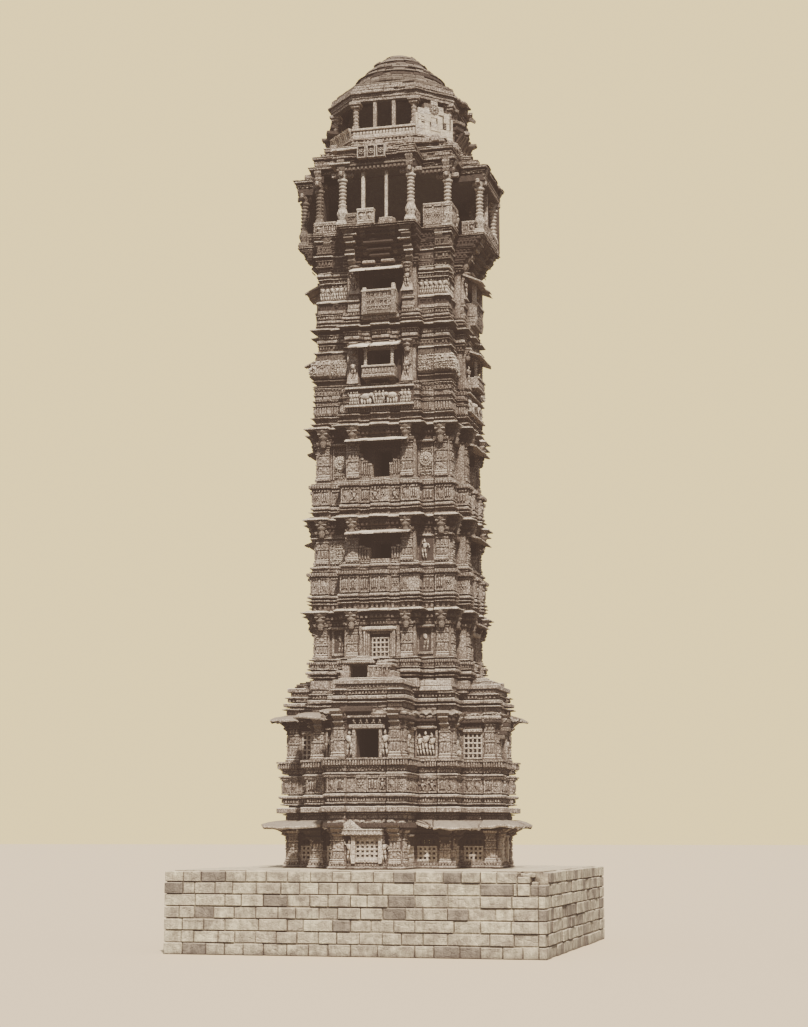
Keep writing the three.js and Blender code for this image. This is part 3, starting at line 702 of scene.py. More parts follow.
def banded_pilaster(x, out, low, high, half, proud=0.07):
    """A pilaster on a stepped foot: ribs and lozenges between two rings, under a capital."""
    tall = high - low
    levels = [(low, half + 0.05, proud + 0.05), (low + 0.06 * tall, half + 0.05, proud + 0.05),
        (low + 0.08 * tall, half + 0.01, proud + 0.01), (low + 0.12 * tall, half + 0.03, proud + 0.03),
        (low + 0.14 * tall, half, proud)]
    rings = (pilaster_chance.uniform(0.38, 0.46), pilaster_chance.uniform(0.66, 0.74))
    for ring in rings:
        z = low + ring * tall
        levels += [(z - 0.05, half, proud), (z - 0.035, half - 0.02, proud - 0.025),
            (z - 0.02, half + 0.03, proud + 0.03), (z + 0.025, half + 0.03, proud + 0.035),
            (z + 0.04, half, proud)]
    levels += [(low + 0.84 * tall, half - 0.01, proud), (low + 0.86 * tall, half + 0.035, proud + 0.04),
        (low + 0.9 * tall, half - 0.01, proud), (low + 0.93 * tall, half + 0.06, proud + 0.08),
        (high, half + 0.09, proud + 0.12)]
    shapes = [pile(x, out, levels)]
    for start, end in ((0.15, rings[0] - 0.04), (rings[0] + 0.04, rings[1] - 0.04),
            (rings[1] + 0.04, 0.83)):
        z0, z1 = low + start * tall, low + end * tall
        if pilaster_chance.random() < 0.6:
            shapes += [stud(x + k * 0.62 * half, out + proud, z0, z1, 0.2 * half, 0.035)
                for k in (-1, 0, 1)]
        else:
            shapes += [gem(x, out + proud, (z0 + z1) / 2, 0.6 * half, 0.46 * (z1 - z0), 0.06)]
            shapes += [gem(x + a * 0.66 * half, out + proud, z0 + b * (z1 - z0), 0.3 * half,
                0.2 * (z1 - z0), 0.04) for a, b in itertools.product((-1, 1), (0.2, 0.8))]
    return shapes


def bracket(x, out, low, high, half, reach):
    """A capital bracket that leans out in three rolls to carry the eave."""
    tall = high - low
    return pile(x, out, [(low, 0.55 * half, 0.03), (low + 0.16 * tall, 0.8 * half, 0.22 * reach),
        (low + 0.26 * tall, 0.6 * half, 0.18 * reach), (low + 0.44 * tall, 0.95 * half, 0.5 * reach),
        (low + 0.54 * tall, 0.7 * half, 0.42 * reach), (low + 0.78 * tall, half, 0.85 * reach),
        (low + 0.84 * tall, 0.85 * half, 0.8 * reach), (high, 1.25 * half, reach)])


def bar_lattice(x0, x1, out, z0, z1, across, up, bar=0.045, depth=0.07):
    """A pierced stone screen: upright bars and crossbars with small square holes."""
    shapes = []
    for i in range(across + 1):
        x = x0 + (x1 - x0) * i / across
        shapes.append(slab(x, bar, out - depth, out, z0, z1, 0.008))
    for k in range(up + 1):
        z = z0 + (z1 - z0) * k / up
        shapes.append(block(x0 - bar, x1 + bar, out - depth + 0.004, out + 0.012, z - bar, z + bar, 0.008))
    return shapes


def window_lattice(x0, x1, out, z0, z1, across, up, bar=0.032):
    """A double screen, whose inner bars stand behind the holes of the outer ones."""
    dx, dz = (x1 - x0) / across / 2, (z1 - z0) / up / 2
    return [*bar_lattice(x0, x1, out, z0, z1, across, up, bar),
        *bar_lattice(x0 + dx, x1 - dx, out - 0.3, z0 + dz, z1 - dz, across - 1, up - 1, 1.25 * bar)]


def standing_figure(x, out, foot, tall, sway, chance):
    """A plain standing figure in high relief, swaying at the hips, with a tall cap."""
    h = tall
    deep = out + 0.05 * h
    hip = (x + sway * 0.05 * h, deep, foot + 0.5 * h)
    chest = (x - sway * 0.02 * h, deep, foot + 0.74 * h)
    head = (x + sway * 0.02 * h, deep + 0.01 * h, foot + 0.885 * h)
    shapes = [limb(hip, chest, 0.085 * h, 0.115 * h, 8), ball(*hip, 0.105 * h, 0.08 * h, 0.08 * h),
        ball(*chest, 0.125 * h, 0.08 * h, 0.07 * h), ball(*head, 0.058 * h, 0.06 * h, 0.075 * h),
        limb((head[0], deep, head[2] + 0.04 * h), (head[0], deep, foot + 1.0 * h), 0.055 * h, 0.02 * h)]
    for turn in (-1, 1):
        knee = (x + turn * 0.075 * h + sway * 0.03 * h, deep + 0.02 * h, foot + 0.27 * h)
        ankle = (x + turn * 0.06 * h, deep, foot + 0.02 * h)
        shapes += [limb((hip[0] + turn * 0.05 * h, deep, hip[2]), knee, 0.06 * h, 0.045 * h),
            limb(knee, ankle, 0.045 * h, 0.033 * h)]
        raised = chance.random() < 0.4
        elbow = (chest[0] + turn * 0.19 * h, deep, chest[2] + (0.04 if raised else -0.11) * h)
        hand = (chest[0] + turn * chance.uniform(0.1, 0.2) * h, deep + 0.04 * h,
            elbow[2] + (0.13 if raised else -0.09) * h)
        shoulder = (chest[0] + turn * 0.11 * h, deep, chest[2] + 0.03 * h)
        shapes += [limb(shoulder, elbow, 0.035 * h, 0.03 * h), limb(elbow, hand, 0.03 * h, 0.022 * h)]
    return shapes


ARM_HALF = 1.35
BLOCK_FACE = 2.79
LOW_WALL = 0.5
ARM_WINDOW, BLOCK_WINDOW = 3.3, 1.8
ARM_PILASTER, BLOCK_PILASTER = 1.09, 2.53
GROUND_SILL, SHADE_FROM, GROUND_HEAD = 3.32, 3.74, 4.2
ARM_REACHES = (4.9, 4.25, 4.9, 4.25)


def cross_half(reach, middle, block_window):
    """Half of one side of the cross: the arm's end, its side, and the corner block's face."""
    half = [(middle, reach - 0.11, 0, 0.8, "close"), (0.78, reach - 0.11, 0, 0.8, ""),
        (0.82, reach, 0, 1, ""), (ARM_HALF, reach, 1, 1, "")]
    half += [(ARM_HALF, 3.78, 1, 0, ""), (ARM_HALF - 0.05, 3.74, 0.8, 0, ""),
        (ARM_HALF - 0.05, 3.65, 0.8, 0, "open"), (ARM_HALF - 0.05, 2.95, 0.8, 0, "close"),
        (ARM_HALF - 0.05, BLOCK_FACE - 0.07, 0.8, 0.8, "")]
    if block_window:
        half += [(1.45, BLOCK_FACE - 0.07, 0, 0.8, "open"), (2.15, BLOCK_FACE - 0.07, 0, 0.8, "close")]
    half += [(2.24, BLOCK_FACE - 0.07, 0, 0.8, ""), (2.28, BLOCK_FACE, 0, 1, ""),
        (BLOCK_FACE, BLOCK_FACE, 1, 1, "")]
    return half


def set_in(depth):
    """The inside of a ring, a set depth behind its face."""
    return lambda places, pushes: places - depth * pushes


def cross_inner(places, pushes):
    """The inside of the cross-shaped chamber, a wall's thickness behind its face."""
    step = np.where(np.abs(pushes) > 0.1, np.sign(pushes), 0)
    return places - LOW_WALL * step


def levels(node):
    low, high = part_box(node)
    return low[2], high[2]


def small_hood(x, half, out, z, reach=0.16, thick=0.05):
    """A little sloping slab over a niche, as a list of one shape."""
    return [pile(x, out, [(z, half, reach), (z + thick, half + 0.02, reach + 0.02),
        (z + 2.2 * thick, 0.8 * half, 0.05)])]


def arm_return(middle, reach, low, high, chance):
    """The side of an arm, past its window: a pilaster at the corner, and a figure where it fits."""
    hand = 1 if middle > 0 else -1
    shapes = banded_pilaster(hand * (reach - 0.26), ARM_HALF, low, high, 0.19)
    if reach > 4.5:
        shapes += standing_figure(hand * 4.13, ARM_HALF, low + 0.12, 0.62 * (high - low), hand, chance)
        shapes += small_hood(hand * 4.13, 0.3, ARM_HALF, low + 0.82 * (high - low), 0.2)
    return shapes


CARVED_STONE = stone("carved_sandstone", (0.6, 0.5, 0.4), (0.4, 0.325, 0.255), (0.13, 0.097, 0.075),
    chisel=0.75)
# Copies of the carved stone: darker for painted shade, near black for painted black shade, paler for
# painted sunlight
SHADED_STONE = stone("painted_shade_sandstone", (0.3, 0.245, 0.19), (0.175, 0.14, 0.11), (0.07, 0.053, 0.041),
    dust_and_top_light=(0.3, 0.25, 0.195), chisel=0.6)
BLACK_SHADE_COLOUR = (0.05, 0.036, 0.028)
BLACK_SHADE_STONE = stone("painted_black_shade_sandstone", (0.075, 0.055, 0.043), BLACK_SHADE_COLOUR, (0.03, 0.022, 0.018),
    dust_and_top_light=BLACK_SHADE_COLOUR)
SUNLIT_STONE = stone("sunlit_sandstone", (0.74, 0.65, 0.53), (0.58, 0.49, 0.385), (0.25, 0.19, 0.14), 0.8,
    0.8, chisel=0.45, hollow_shade=0.7)
SHADED_AND_SUNLIT_COPIES = (SHADED_STONE, BLACK_SHADE_STONE, SUNLIT_STONE)


def build_carved(name, stones, node, slot="carved_stone"):
    """Makes a piece of carved sandstone in four copies: plain, painted shade, painted black shade and
    painted sunlight.
    """
    build(name, stones, CARVED_STONE, slot, node, others=SHADED_AND_SUNLIT_COPIES)


ground_plan = plan_of([cross_half(reach, 0.5, True) for reach in ARM_REACHES])
ground_low, ground_high = levels("ground_storey_walls")
ground = Stones()
coursework(ground, ground_plan, ground_low, GROUND_SILL, cross_inner,
    [(1, 0.15, ROLL), (0.9, 0.08, FLAT, carved_rib, 0.11), (0.6, 0.03, FLAT)], 1)
# Painted black shade: the wall from SHADE_FROM up to the window heads, and the courses above, under the
# eave
wall_lengths(ground, ground_plan, [(0, GROUND_SILL, 0), (0, SHADE_FROM, 0, BLACK_SHADE), (0, GROUND_HEAD, 0)],
    cross_inner, 1)
ground.tone = BLACK_SHADE
coursework(ground, ground_plan, GROUND_HEAD, ground_high, cross_inner,
    [(0.8, 0, FLAT, petal, 0.13), (0.7, 0.08, DRIP), (0.3, 0.04, FLAT), (0.9, 0.17, ROLL)], 1)
ground.tone = 0
chance = random.Random(21)
for side, reach in enumerate(ARM_REACHES):
    for hand in (-1, 1):
        ground.lay((*banded_pilaster(hand * ARM_PILASTER, reach, ground_low + 0.2, ground_high - 0.08, 0.2),
            bracket(hand * ARM_PILASTER, reach, 4.1, ground_high + 0.1, 0.22, 0.6),
            *banded_pilaster(hand * BLOCK_PILASTER, BLOCK_FACE, ground_low + 0.2, ground_high - 0.08,
            0.19)), side)
        # The corner block's bracket is painted black as shade
        ground.put(bracket(hand * BLOCK_PILASTER, BLOCK_FACE, 3.9, ground_high + 0.1, 0.24, 0.6), side,
            BLACK_SHADE)
        wall_side, middle = side + hand, -hand * ARM_WINDOW
        windows = ((hand * BLOCK_WINDOW, BLOCK_FACE, side), (middle, ARM_HALF, wall_side))
        # Each window's outer lattice is painted sunlit low down and black as shade at its top, its inner
        # screen black as shade
        for tone, z0, z1, across, up, half, back, thick in ((SUNLIT, 3.36, 3.88, 4, 3, 0.35, 0.04, 0.042),
                (BLACK_SHADE, 3.93, 4.16, 4, 1, 0.35, 0.04, 0.042),
                (BLACK_SHADE, 3.36, 4.16, 7, 8, 0.31, 0.34, 0.036)):
            for x, wall, turn in windows:
                ground.lay(bar_lattice(x - half, x + half, wall - back, z0, z1, across, up, thick), turn,
                    tone)
        ground.lay(arm_return(middle, reach, ground_low + 0.2, ground_high - 0.08, chance), wall_side)
        # The figures beside the arm's window are painted sunlit
        ground.lay(standing_figure(hand * 0.69, reach - 0.02, 3.36, 0.78, -hand, chance), side, SUNLIT)
    if side != 2:
        # The arm's window lattice, sill, head and posts are painted sunlit
        ground.tone = SUNLIT
        ground.lay(window_lattice(-0.46, 0.46, reach - 0.06, 3.46, 4.12, 5, 4, 0.042), side)
        ground.put(slab(0, 0.5, reach - 0.16, reach - 0.02, 3.28, 3.44, 0.02), side)
        ground.put(slab(0, 0.5, reach - 0.16, reach - 0.02, 4.14, 4.24, 0.02), side)
        for k in range(7):
            ground.put(stud(-0.42 + 0.14 * k, reach - 0.02, 3.3, 3.42, 0.05, 0.03), side)
        for x in (-0.56, -0.49, 0.49, 0.56):
            ground.put(slab(x, 0.04, reach - 0.12, reach + 0.07, 3.26, 4.24), side)
        ground.tone = 0
    ground.put(slab(0, 0.62, reach - 0.1, reach + 0.12, 4.22, 4.3, 0.02), side)
build_carved("ground_storey_masonry", ground, "ground_storey_walls")


# Ground eave: thin sandstone slabs that slope out and droop at their edge, on a low course.
# Rain and falls have bitten their rims, and a small triangular hood is left on the front arm.

def drooping_eave(stones, plan, root, tip, top, low, thick, inner, bite, seed, loss=None, rim=SUNLIT):
    """A ring of sloping slabs. Its rim is bitten, and further back where a loss is given.

    The rim is painted sunlit unless another tone is given, the slope is painted with shade, and
    the underside, and the slope where it is lost, are painted black as shade.
    """
    places, pushes = finer(plan[0], plan[1], 0.07, True)
    count = len(places)
    flat = np.column_stack([places, np.full(count, top)])
    slabs = np.floor(noise(flat, 0.9, seed) * 3.0) / 3.0
    lift = 0.05 * (np.floor(noise(flat, 0.55, seed + 4) * 4.0) / 4.0)
    shape = np.clip(0.55 * slabs + 0.5 * noise(flat, 0.3, seed + 3) + 0.3 * noise(flat, 0.11, seed + 6),
        -0.2, 1)
    joint = np.where(np.arange(count) % 9 == 0, 0.05, 0.0)
    reach = tip - bite * np.clip(shape, 0, 1) - 1.2 * joint
    if loss:
        reach = root + 0.05 + (reach - root - 0.05) * np.array([loss(x, y) for x, y in places])
    loops = []
    for share, drop, under in ((0, 0.5, 1), (0.6, 0.8, 1), (0.96, 1.05, 1), (1, 0.95, 0.6), (1.0, 0.9, 0),
            (0.72, 0.42, 0), (0.4, 0.16, 0), (0, 0, 0)):
        out = root + (reach - root) * share
        z = top - (top - low) * drop * np.clip((reach - root) / (tip - root), 0.25, 1) - thick * under
        loops.append(worn(np.column_stack([places + pushes * out[:, None], z]), 0.014, 0.2, seed))
    fringe = 0.05 * noise(flat, 0.14, seed + 8)
    for k in (2, 3, 4):
        loops[k][:, 2] += fringe
    for k, loop in enumerate(loops[1:-1]):
        loop[:, 2] += lift + 0.016 * noise(loop, 0.16, seed + k) - joint
    inside = inner(places, pushes)
    for z in (loops[-1][:, 2], loops[0][:, 2]):
        loops.append(np.column_stack([inside, z]))
    faces = []
    for k in range(len(loops)):
        a, b = k * count, ((k + 1) % len(loops)) * count
        faces += [(a + i, a + (i + 1) % count, b + (i + 1) % count, b + i) for i in range(count)]
    stones.put((np.concatenate(loops), faces))
    whole = reach > root + 0.3 * (tip - root)
    slope = [SHADED if kept else BLACK_SHADE for kept in whole]
    ways = [[BLACK_SHADE] * count, [BLACK_SHADE] * count, [rim] * count, [rim] * count, slope, slope, slope]
    ways += [[BLACK_SHADE] * count] * 3
    stones.tones[-len(faces):] = itertools.chain(*ways)


def ground_loss(x, y):
    """How much of the eave's reach is left at a place in the plan: the front arm has lost its."""
    return 0.12 if y < -3.7 and abs(x) < 1.6 else 1.0


eave_plan = plan_of([cross_half(reach, 0.0, False) for reach in ARM_REACHES])
eave_low, eave_high = levels("ground_storey_eave")
ground_eave = Stones()
# The courses under the eave are painted black as shade
ground_eave.tone = BLACK_SHADE
coursework(ground_eave, eave_plan, ground_high, eave_high - 0.03, cross_inner,
    [(1, 0.24, ROLL, dentil, 0.16), (0.5, 0.1, FLAT)], 3)
ground_eave.tone = 0
drooping_eave(ground_eave, eave_plan, 0.02, 0.95, eave_high, eave_low + 0.06, 0.065, cross_inner, 0.55, 5,
    ground_loss)
# The small hood on the front arm is painted sunlit
ground_eave.tone = SUNLIT
ground_eave.lay((block(-1.12, 0.64, 4.86, 5.14, 4.3, 4.5, 0.02),
    block(-1.14, 0.66, 4.86, 5.18, 4.48, 4.53, 0.015),
    ([(x, -out, z) for out in (4.86, 5.16) for x, z in ((-1.12, 4.52), (-0.14, 4.52), (-0.62, 4.88))],
    [(0, 1, 2), (5, 4, 3), (0, 3, 4, 1), (1, 4, 5, 2), (2, 5, 3, 0)])))
for k in range(11):
    ground_eave.put(stud(-1.02 + 0.155 * k, 5.14, 4.32, 4.47, 0.05, 0.03))
ground_eave.lay(tracery(-0.62, 0.5, 5.14, 4.56, 4.7, chance))
build_carved("ground_eave_slabs", ground_eave, "ground_storey_eave")


# Second storey's base: mouldings under a band of carved panels, then the seat courses above,
# cut from sandstone and laid dry. They swell out at each pilaster and at each corner.
storey_2_plan = plan_of([cross_half(reach, 0.45, False) for reach in ARM_REACHES])
seat_low, seat_high = levels("storey_2_seat")
second_base = Stones()
coursework(second_base, storey_2_plan, eave_high, seat_low, cross_inner,
    [(0.16, 0.05, FLAT, slab_joint, 0.55), (0.1, 0.16, DRIP), (0.22, 0.34, ROLL, slab_joint, 0.8),
    (0.08, 0.12, SLOT), (0.1, 0.24, DRIP), (0.16, 0.16, FLAT, carved_rib, 0.1), (0.13, 0.3, ROLL),
    (0.06, 0.14, SLOT), (0.58, 0.17, FLAT, carved_panel, 0.42), (0.06, 0.26, FLAT)], 7)
build_carved("storey_2_base_courses", second_base, "storey_2_base")
second_seat = Stones()
coursework(second_seat, storey_2_plan, seat_low, seat_high, cross_inner,
    [(0.1, 0.32, DRIP), (0.05, 0.14, SLOT), (0.12, 0.18, FLAT, leaf, 0.16), (0.05, 0.26, DRIP),
    (0.22, 0.31, ROLL, carved_rib, 0.1), (0.06, 0.38, FLAT)], 9)
build_carved("storey_2_seat_courses", second_seat, "storey_2_seat")


# Second storey's walls: a window in each arm, dancers carved on the corner blocks, and lattices
# on the side arms. Sandstone, laid dry, with pilasters at every corner.
walls_low, walls_high = levels("storey_2_walls")
SECOND_HEAD = 8.27
second_walls = Stones()
wall_lengths(second_walls, storey_2_plan, [(0, walls_low, 0), (0, SECOND_HEAD, 0)], cross_inner, 1)
# The courses over the windows, under the eave, are painted black as shade
second_walls.tone = BLACK_SHADE
coursework(second_walls, storey_2_plan, SECOND_HEAD, walls_high, cross_inner,
    [(0.22, 0.02, FLAT, carved_panel, 0.3), (0.12, 0.1, DRIP), (0.13, 0.18, ROLL, dentil, 0.15)], 11)
second_walls.tone = 0
chance = random.Random(33)
for side, reach in enumerate(ARM_REACHES):
    for hand in (-1, 1):
        second_walls.lay((*banded_pilaster(hand * ARM_PILASTER, reach, walls_low, walls_high, 0.2),
            bracket(hand * ARM_PILASTER, reach, 8.2, walls_high + 0.16, 0.22, 0.5),
            *banded_pilaster(hand * BLOCK_PILASTER, BLOCK_FACE, walls_low, walls_high, 0.2),
            bracket(hand * BLOCK_PILASTER, BLOCK_FACE, 8.2, walls_high + 0.16, 0.2, 0.5),
            *small_hood(hand * 1.8, 0.42, BLOCK_FACE - 0.07, 8.36, 0.22),
            slab(hand * 1.38, 0.04, 2.6, 2.86, 7.2, 8.3, 0.01),
            slab(hand * 2.2, 0.04, 2.6, 2.86, 7.2, 8.3, 0.01),
            slab(hand * 1.79, 0.42, 2.6, 2.88, 7.2, 7.3, 0.01),
            slab(hand * 0.52, 0.06, reach - 0.2, reach + 0.05, walls_low, 8.3)), side)
        # A slab painted black as shade stands behind the dancers; they and the arm's figure are painted
        # sunlit
        second_walls.tone = BLACK_SHADE
        second_walls.put(slab(hand * 1.79, 0.42, 2.5, BLOCK_FACE - 0.05, 7.25, 8.62), side)
        second_walls.tone = SUNLIT
        for x, tall in ((1.55, 0.86), (1.8, 0.98), (2.05, 0.86)):
            second_walls.lay(standing_figure(hand * x, BLOCK_FACE - 0.01, 7.3, tall,
                chance.choice((-1.6, 1.6)), chance), side)
        second_walls.lay(standing_figure(hand * 0.72, reach - 0.06, 7.22, 1.0, -hand, chance), side)
        second_walls.tone = 0
        wall_side, middle = side + hand, -hand * ARM_WINDOW
        # The arm's side lattice is painted sunlit
        second_walls.lay(window_lattice(middle - 0.35, middle + 0.35, ARM_HALF - 0.03, 7.26, 8.25, 4, 5),
            wall_side, SUNLIT)
        second_walls.put(block(middle - 0.4, middle + 0.4, 1.2, 1.42, 8.27, 8.4, 0.02), wall_side)
        second_walls.lay(arm_return(middle, reach, walls_low, walls_high, chance), wall_side)
    second_walls.put(slab(0, 0.7, reach - 0.1, reach + 0.1, SECOND_HEAD, 8.42, 0.015), side)
    for k in range(5):
        second_walls.lay(small_figure(-0.5 + 0.25 * k, reach + 0.02, 8.44, 0.24, chance), side)
    second_walls.put(prism([(-0.75, -reach - 0.16), (0.75, -reach - 0.16), (0.75, -reach + 0.2),
        (-0.75, -reach + 0.2)], 8.69, 8.76), side)
for side in (1, 3):
    reach = ARM_REACHES[side]
    second_walls.lay(window_lattice(-0.45, 0.45, reach - 0.12, 7.2, 8.26, 5, 6), side)
build_carved("storey_2_masonry", second_walls, "storey_2_walls")


# Second eave: thinner slabs over the second storey. Most of the rim on the front has fallen,
# and it is whole only at the left and in lengths at the back. Sandstone on a dentilled course.

def second_loss(x, y):
    """How much of the eave's reach is left at a place in the plan."""
    if y < -3.9:
        return 0.12 if x > -0.95 else 0.6
    if y < 0 < x:
        return 0.45 if x < 2.85 else 0.2
    return 1.0


upper_low, upper_high = levels("storey_2_eave")
second_eave = Stones()
coursework(second_eave, eave_plan, walls_high, upper_high - 0.02, cross_inner,
    [(1, 0.22, ROLL), (0.5, 0.12, FLAT, dentil, 0.14), (0.5, 0.05, FLAT)], 13)
drooping_eave(second_eave, eave_plan, 0.02, 0.66, upper_high, upper_low + 0.06, 0.05, cross_inner, 0.5, 15,
    second_loss)
# A block on the front and a stack of slabs on the right arm are painted with shade and black shade by turns
second_eave.tone = BLACK_SHADE
second_eave.put(block(-1.04, 0.2, 4.7, 5.14, 8.88, 9.1, 0.04))
for k, (x, z) in enumerate(((4.3, 8.62), (4.34, 8.46), (4.4, 8.3), (4.38, 8.14), (4.34, 8.0))):
    second_eave.tone = (SHADED, BLACK_SHADE)[k % 2]
    second_eave.put(block(4.1, x + 0.42 - 0.05 * k, 0.75, 1.25, z, z + 0.17, 0.05))
second_eave.tone = 0
build_carved("storey_2_eave_slabs", second_eave, "storey_2_eave")


# Roof of the second storey: stepped courses of sandstone slabs round the foot of the shaft, laid
# dry on the walls. A few squared stones of a parapet, painted sunlit, are left at one corner.
SHAFT_HOLLOW = 1.9


def square_hollow(half):
    """The inside of a ring round a square hollow."""
    return lambda places, pushes: places * (half / np.abs(places).max(axis=1))[:, None]


square_inner = square_hollow(SHAFT_HOLLOW)


def stacked(loops):
    """A solid skinned over level loops of points, one above the other, and closed at both ends."""
    count = len(loops[0])
    faces = [tuple(reversed(range(count)))]
    for k in range(len(loops) - 1):
        low, high = k * count, (k + 1) * count
        faces += [(low + i, low + (i + 1) % count, high + (i + 1) % count, high + i) for i in range(count)]
    faces.append(tuple(range((len(loops) - 1) * count, len(loops) * count)))
    return np.concatenate(loops), faces


def rough_slab(x0, x1, out0, out1, z0, z1, rough=0.05, seed=0):
    """A flat stone with broken edges."""
    corners = np.array([(x0, -out1), (x1, -out1), (x1, -out0), (x0, -out0)])
    edge = finer(corners, corners, 0.13, True)[0]
    inward = corners.mean(axis=0) - edge
    inward /= np.linalg.norm(inward, axis=1)[:, None]
    loops = []
    for z, inset in ((z0, 0.02), (z0 + 0.015, 0.0), (z1 - 0.02, 0.0), (z1, 0.03)):
        flat = np.column_stack([edge, np.full(len(edge), z)])
        chipped = inset + rough * np.clip(noise(flat, 0.28, seed) + 0.4 * noise(flat, 0.1, seed + 2), 0, 1)
        loops.append(np.column_stack([edge + inward * chipped[:, None], np.full(len(edge), z)]))
    return stacked(loops)


roof_low, roof_high = levels("storey_2_roof")
second_roof = Stones()
coursework(second_roof, eave_plan, roof_low, roof_high, square_inner,
    [(0.16, 0.04, FLAT, slab_joint, 0.5), (0.08, 0.22, DRIP), (0.05, 0.0, SLOT),
    (0.14, 0.16, ROLL, slab_joint, 0.7), (0.05, -0.04, SLOT), (0.12, 0.02, FLAT, carved_rib, 0.14),
    (0.08, 0.14, DRIP)], 17)
second_roof.tone = SUNLIT
for x0, x1, z0, z1 in ((1.36, 2.02, 9.8, 10.0), (2.0, 2.84, 9.8, 10.0), (1.36, 1.75, 9.99, 10.22),
        (1.74, 2.8, 9.99, 10.22)):
    second_roof.put(block(x0, x1 - 0.012, BLOCK_FACE - 0.1, BLOCK_FACE + 0.13, z0, z1 - 0.012, 0.03))
build_carved("storey_2_roof_courses", second_roof, "storey_2_roof")


# Arm roofs: thin stepped slabs over each arm, with leaves under their rim painted sunlit. On the
# front arm stands the broken foot of a balcony, dry-laid sandstone with a hole in it painted black
# as shade.
ARM_ROOF_ROOT = 3.16
ARM_NAMES = ("front", "right", "back", "left")
for side, reach in enumerate(ARM_REACHES):
    chance = random.Random(40 + side)
    roof = Stones()
    for low, high, half, out in ((9.79, 9.96, 1.28, reach - 0.06), (9.96, 10.13, 1.38, reach + 0.05)):
        roof.put(rough_slab(-half, half, ARM_ROOF_ROOT, out, low, high, 0.04, side), side)
    roof.tone = SUNLIT
    for edge_side, start, end, out in ((side, -1.2, 1.2, reach - 0.08),
            (side + 1, -reach + 0.15, -3.2, 1.26), (side - 1, 3.2, reach - 0.15, 1.26)):
        for k in range(int((end - start) / 0.15)):
            roof.lay(leaf(start + 0.075 + 0.15 * k, 0.15, out, 9.77, 10.0, chance), edge_side)
    roof.tone = 0
    if side:
        for low, high, half, out in ((10.13, 10.22, 1.16, reach - 0.16), (10.22, 10.31, 1.1, reach - 0.24),
                (10.31, 10.38, 1.02, reach - 0.34), (10.38, 10.44, 0.86, reach - 0.5)):
            shift = chance.uniform(-0.05, 0.05)
            roof.put(rough_slab(shift - half, shift + half, ARM_ROOF_ROOT, out, low, high, 0.12,
                side + low), side)
        for k in range(9):
            x, out = chance.uniform(-1.0, 1.0), reach - chance.uniform(0.1, 0.5)
            roof.put(rough_slab(x - 0.13, x + 0.13, out - 0.12, out + 0.12, 10.13,
                10.13 + chance.uniform(0.08, 0.2), 0.06, k), side)
    else:
        for x0, x1, out, low, high in ((-1.3, 1.1, 4.45, 10.13, 10.24), (-1.24, -0.9, 4.25, 10.24, 10.5),
                (-0.2, 0.9, 4.25, 10.24, 10.5), (-1.2, -0.92, 4.2, 10.5, 10.76),
                (-0.18, 0.72, 4.22, 10.5, 10.72), (-1.2, 0.1, 4.25, 10.8, 10.89),
                (0.12, 0.8, 4.2, 10.7, 10.8), (0.16, 0.55, 4.1, 10.79, 10.9),
                (-1.05, 0.0, 4.08, 10.89, 10.98), (-0.92, 0.1, 3.98, 10.97, 11.04),
                (-0.72, -0.2, 3.9, 11.03, 11.12), (0.4, 0.8, 3.9, 10.88, 10.96)):
            root = ARM_ROOF_ROOT if high < 10.5 else 3.38
            roof.put(rough_slab(x0, x1, root, out, low, high, 0.07, x0), 0)
        roof.tone = BLACK_SHADE
        roof.put(block(-0.93, -0.17, 3.3, 3.6, 10.22, 10.85), 0)
        roof.put(block(-0.93, -0.17, 3.5, 4.1, 10.74, 10.81), 0)
        roof.put(block(-0.93, -0.17, 3.5, 4.16, 10.22, 10.27), 0)
        roof.tone = 0
        for k in range(5):
            roof.lay(carved_panel(-0.06 + 0.18 * k, 0.18, 4.2, 10.25, 10.7, chance), 0)
        for k in range(12):
            x = -1.1 + 0.09 * k
            roof.put(stud(x, 4.22, 10.81, 10.88, 0.032, 0.05), 0)
    build_carved(ARM_NAMES[side] + "_arm_roof_slabs", roof, ARM_NAMES[side] + "_arm_roof")


# Shaft storeys' bases: rings of mouldings and carved panels that bulge at every pilaster. They
# are bonded sandstone courses round the hollow shaft, and each seats the floor above it.
BAY_STEP = 0.33
SHAFT_FACES = {3: 2.75, 4: 2.74, 5: 2.71, 6: 2.65, 7: 2.59}
SUNK, SUNK_FACE = 0.09, 2.68


def shaft_half(face, middle=None, recess=0.09, recess_half=0.82):
    """Half of one side of the shaft: middle bay, pilaster, niche zone and corner pilaster."""
    front = face + BAY_STEP
    sunk = SUNK if face > SUNK_FACE else 0.0
    if middle is None:
        half = [(0.36, front, 0, 1, ""), (0.42, front - 0.09, 0, 0.7, "")]
    else:
        half = [(middle, front - recess, 0, 0.7, "close")]
    return half + [(recess_half, front - recess, 0, 0.7, ""), (recess_half + 0.05, front, 0, 1, ""),
        (1.42, front, 1, 1, ""), (1.42, face - sunk, 1, 0.65, ""), (2.12, face - sunk, 0, 0.65, ""),
        (2.18, face, 0, 1, ""), (face, face, 1, 1, "")]


def bead(x, wide, out, z0, z1, chance):
    return [gem(x, out, (z0 + z1) / 2, 0.05, 0.05, 0.09)]


